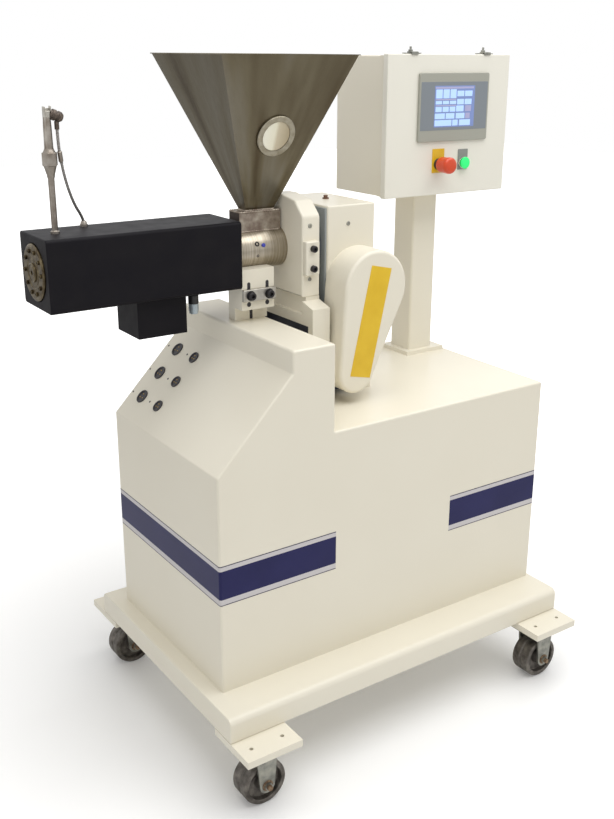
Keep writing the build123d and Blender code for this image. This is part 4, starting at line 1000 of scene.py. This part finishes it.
# %% Screen bezel: a pale frame with a darker middle, and blocks on the lit display
(bezel_x0, bezel_y0, bezel_z0), (bezel_x1, bezel_y1, bezel_z1) = box_mm("screen_bezel")
glass_low, glass_high = box_mm("screen_glass")
screen_face = bezel_y0 + 0.1
place("bezel_frame", [front_plate((bezel_x0, bezel_y0 + 0.6, bezel_z0), (bezel_x1, bezel_y1, bezel_z1), 5.0, 2.0,
                                  steps=4)], bezel_pale, body="door", replaces=["screen_bezel"])
place("bezel_middle", [front_plate((bezel_x0 + 5, bezel_y0 + 0.2, bezel_z0 + 27),
                                   (bezel_x1 - 5, bezel_y0 + 2, bezel_z1 - 21), 2.0, 0.3, steps=4)],
      bezel_dark, body="door")
place("screen_pane", [front_plate((glass_low[0], screen_face, glass_low[2]),
                                  (glass_high[0], bezel_y0 + 1, glass_high[2]), 0.4, 0.05, steps=4)],
      screen_back, body="door", replaces=["screen_glass"])
LEFT_EDGE, TOP_EDGE, SCREEN_WIDE, SCREEN_TALL = 862, 434, 334, 352
BLOCKS = {(465, 540): ((872, 925), (932, 983), (990, 1040)), (478, 525): ((1048, 1105), (1112, 1175)),
          (562, 590): ((872, 922), (930, 980), (988, 1040)), (548, 595): ((1048, 1105), (1112, 1170)),
          (612, 655): ((872, 922), (930, 980), (988, 1035)), (604, 655): ((1042, 1105),),
          (668, 715): ((868, 950), (958, 1030), (1042, 1115)),
          (725, 775): ((868, 1008), (1015, 1060), (1072, 1165))}
DIM_BLOCKS = {(443, 460): ((868, 1185),), (604, 655): ((1118, 1168),), (668, 715): ((1122, 1160),),
              (545, 556): ((872, 1040),), (597, 607): ((872, 1040),)}



def on_screen(rows):
    """Thin blocks of the display, from rows of {(top, bottom): ((left, right), ...)}.  They are
    counted in steps of which the screen is SCREEN_WIDE wide and SCREEN_TALL tall."""
    wide, tall = glass_high[0] - glass_low[0], glass_high[2] - glass_low[2]
    plates = []
    for levels, cells in rows.items():
        z1, z0 = (glass_high[2] - (level - TOP_EDGE) / SCREEN_TALL * tall for level in levels)
        for cell in cells:
            x0, x1 = (glass_low[0] + (side - LEFT_EDGE) / SCREEN_WIDE * wide for side in cell)
            plates.append(front_plate((x0, screen_face - 0.12, z0), (x1, screen_face + 0.3, z1), 0.3, 0.05, steps=4))
    return plates


place("screen_blocks", on_screen(BLOCKS), screen_block, body="door")
place("screen_dim_blocks", on_screen(DIM_BLOCKS), screen_dim, body="door")

# %% Stop and start buttons; the hollow stem of the stop button slides over a pin on the collar
COLLAR_RING = [(0, 14), (3.2, 14), (4, 13.2), (4, 6.4), (0, 6.4)]
COLLAR_PIN = [(0.1, 3.0), (9.5, 3.0)]
MUSHROOM = [(17.0, 3.3), (6.4, 3.3), (6.4, 5.8), (10.5, 5.8), (10.6, 15.0), (11.6, 17.2), (14, 18.6), (20, 19.0),
            (30, 18.9), (37, 19.6), (41, 20), (45, 19.6), (48, 18.2), (49.7, 15.5), (50.3, 11), (50.5, 5)]
START_RING = [(0, 15), (3.6, 15), (5.2, 14.2), (5.5, 13.2), (5.5, 12.4), (5.2, 11.9), (0, 11.9)]
START_CAP = [(3.5, 11.5), (9, 11.5), (9.1, 14), (9.8, 14.5), (11.4, 14.2), (12.5, 12.4), (12.9, 9), (13, 4)]
door_face = box_mm("stop_collar")[1][1]
stop_at, start_at = ((x, door_face, z) for x, _, z in (centre_mm("stop_collar"), centre_mm("start_ring")))
place("stop_collar_ring", [ring_loop(COLLAR_RING, stop_at, FORWARD), turned(COLLAR_PIN, stop_at, FORWARD, 24)],
      collar_black, body="door", replaces=["stop_collar"])
place("stop_mushroom", [turned(MUSHROOM, stop_at, FORWARD, 64)], stop_red, body="stop_push",
      replaces=["stop_button"])
place("start_ring_turned", [ring_loop(START_RING, start_at, FORWARD)], chrome_ring, body="door",
      replaces=["start_ring"])
place("start_cap", [turned(START_CAP, start_at, FORWARD, 48)], start_green, body="start_push",
      replaces=["start_button"])

# %% [markdown]
# ## Casters
#
# Rough cast-iron wheels with two treads and a groove between them, turned about their axles.
# The forks keep their CAD shape; the axle ends get a rusty nut and a threaded tip.

# %% Wheels and axle nuts
CORNERS = ("front_left", "front_right", "rear_left", "rear_right")
HALF_WHEEL = [(0.8, 47.6), (3.2, 50), (5.4, 50.8), (21.6, 50.8), (24.4, 49.6), (25.5, 47.2), (25.5, 41), (24.2, 39.6),
              (12.5, 38.6), (11, 36), (11, 22), (12, 20), (26.8, 17), (28.1, 15.5), (28.1, 6.2)]
AXLE_HALF = 34.0
NUT_FACE, AXLE_TIP = [(0, 12.5), (1.4, 12.5), (1.8, 10)], [(6, 6), (12.6, 6), (13.6, 5)]
wheel_profile = [(-along, radius) for along, radius in HALF_WHEEL[::-1]] + HALF_WHEEL
nuts = []
for corner in CORNERS:
    hub = centre_mm("caster_wheel_" + corner)
    place("wheel_" + corner, [ring_loop(wheel_profile, hub, BACK, 72)], wheel_iron, body="wheel_" + corner,
          replaces=["caster_wheel_" + corner])
    for way in (-1.0, 1.0):
        seat = hub + (0, way * AXLE_HALF, 0)
        nuts += [turned(NUT_FACE, seat, (0, way, 0), 32), turned(AXLE_TIP, seat, (0, way, 0), 24)]
place("axle_nuts", nuts, rusty_nut)

# %% [markdown]
# ## Finishes of the CAD pieces that keep their own shape

# %% Dress
dress(white_paint, "caster_pads", "throat_block", "throat_foot", "gearbox_bridge", "reducer", "reducer_stand",
      "belt_guard", "post_plate", "post", "door_hinge")
dress(hopper_steel, "hopper_front", "hopper_back", "hopper_left", "hopper_right")
dress(turned_steel, "barrel")
dress(weld_steel, "hopper_neck")
dress(throat_steel, "feed_throat")
dress(zinc_plate, "caster_plates", "caster_forks")
dress(yellow_film, "guard_plate", "stop_plate")
dress(grey_film, "start_plate")

# %% [markdown]
# ## Light
#
# The photograph was lit like a studio shot on white: one broad lamp overhead, a little to the
# front and right, and light from everywhere else thrown back by white walls and the floor.
# The sky that lights diffuse surfaces is dimmer than the white that the camera and the
# mirrors see, so the background stays white without washing the paint out.

# %% Lamp, world and floor
def area_lamp(name, shape, size, energy, place_m, turn_degrees=(0.0, 0.0, 0.0)):
    """A flat lamp in metres and watts that shines down until it is turned."""
    data = bpy.data.lights.new(name, "AREA")
    data.shape, data.size, data.energy = shape, size[0], energy
    if shape == "RECTANGLE":
        data.size_y = size[1]
    lamp = added(name, data)
    lamp.location = place_m
    lamp.rotation_euler = [math.radians(t) for t in turn_degrees]


area_lamp("overhead", "RECTANGLE", (4.0, 3.0), 88.0, (0.6, -0.9, 3.3))
area_lamp("fill", "DISK", (2.6,), 5.0, (-3.2, -0.7, 1.6), (82, 0.0, -80))

world = bpy.data.worlds.new("studio")
bpy.context.scene.world = world
world.use_nodes = True
sky = world.node_tree.nodes
sky.clear()
joins = world.node_tree.links
rays = sky.new("ShaderNodeLightPath")


def plus(first, second):
    """The sum of two outputs, held to 1."""
    total = sky.new("ShaderNodeMath")
    total.operation = "ADD"
    total.use_clamp = True
    joins.new(first, total.inputs[0])
    joins.new(second, total.inputs[1])
    return total.outputs[0]


def background(colour, strength):
    """An even sky."""
    made = sky.new("ShaderNodeBackground")
    made.inputs["Color"].default_value = (*colour, 1.0)
    made.inputs["Strength"].default_value = strength
    return made.outputs[0]


seen_direct = plus(plus(rays.outputs["Is Camera Ray"], rays.outputs["Is Glossy Ray"]),
                   rays.outputs["Is Transmission Ray"])
mixed = sky.new("ShaderNodeMixShader")
joins.new(seen_direct, mixed.inputs["Fac"])
joins.new(background((1.0, 0.99, 0.965), 0.52), mixed.inputs[1])
joins.new(background((1.0, 1.0, 1.0), 1.0), mixed.inputs[2])
joins.new(mixed.outputs[0], sky.new("ShaderNodeOutputWorld").inputs["Surface"])

FLOOR_HALF = 12
GLOW_NEAR, GLOW_FAR = (0.5, 0.10), (2.5, 0.9)
floor_mesh = bpy.data.meshes.new("floor")
floor_mesh.from_pydata([(-FLOOR_HALF, -FLOOR_HALF, 0), (FLOOR_HALF, -FLOOR_HALF, 0), (FLOOR_HALF, FLOOR_HALF, 0),
                        (-FLOOR_HALF, FLOOR_HALF, 0)], [], [(0, 1, 2, 3)])
floor_paint = finish("floor_white", (0.90, 0.90, 0.90), roughness=0.6)
away = node(floor_paint, "ShaderNodeVectorMath", operation="LENGTH")
link(floor_paint, object_place(floor_paint), away.inputs[0])
seen = node(floor_paint, "ShaderNodeLightPath")
glow = node(floor_paint, "ShaderNodeMath", operation="MULTIPLY")
link(floor_paint, spread(floor_paint, away.outputs["Value"], GLOW_NEAR[0], GLOW_FAR[0], GLOW_NEAR[1], GLOW_FAR[1]),
     glow.inputs[0])
link(floor_paint, seen.outputs["Is Camera Ray"], glow.inputs[1])
shader_of(floor_paint).inputs["Emission Color"].default_value = (1.0, 1.0, 1.0, 1.0)
link(floor_paint, glow.outputs[0], shader_of(floor_paint).inputs["Emission Strength"])
floor_mesh.materials.append(floor_paint)
added("floor", floor_mesh)
bpy.context.scene.view_settings.view_transform = "Standard"
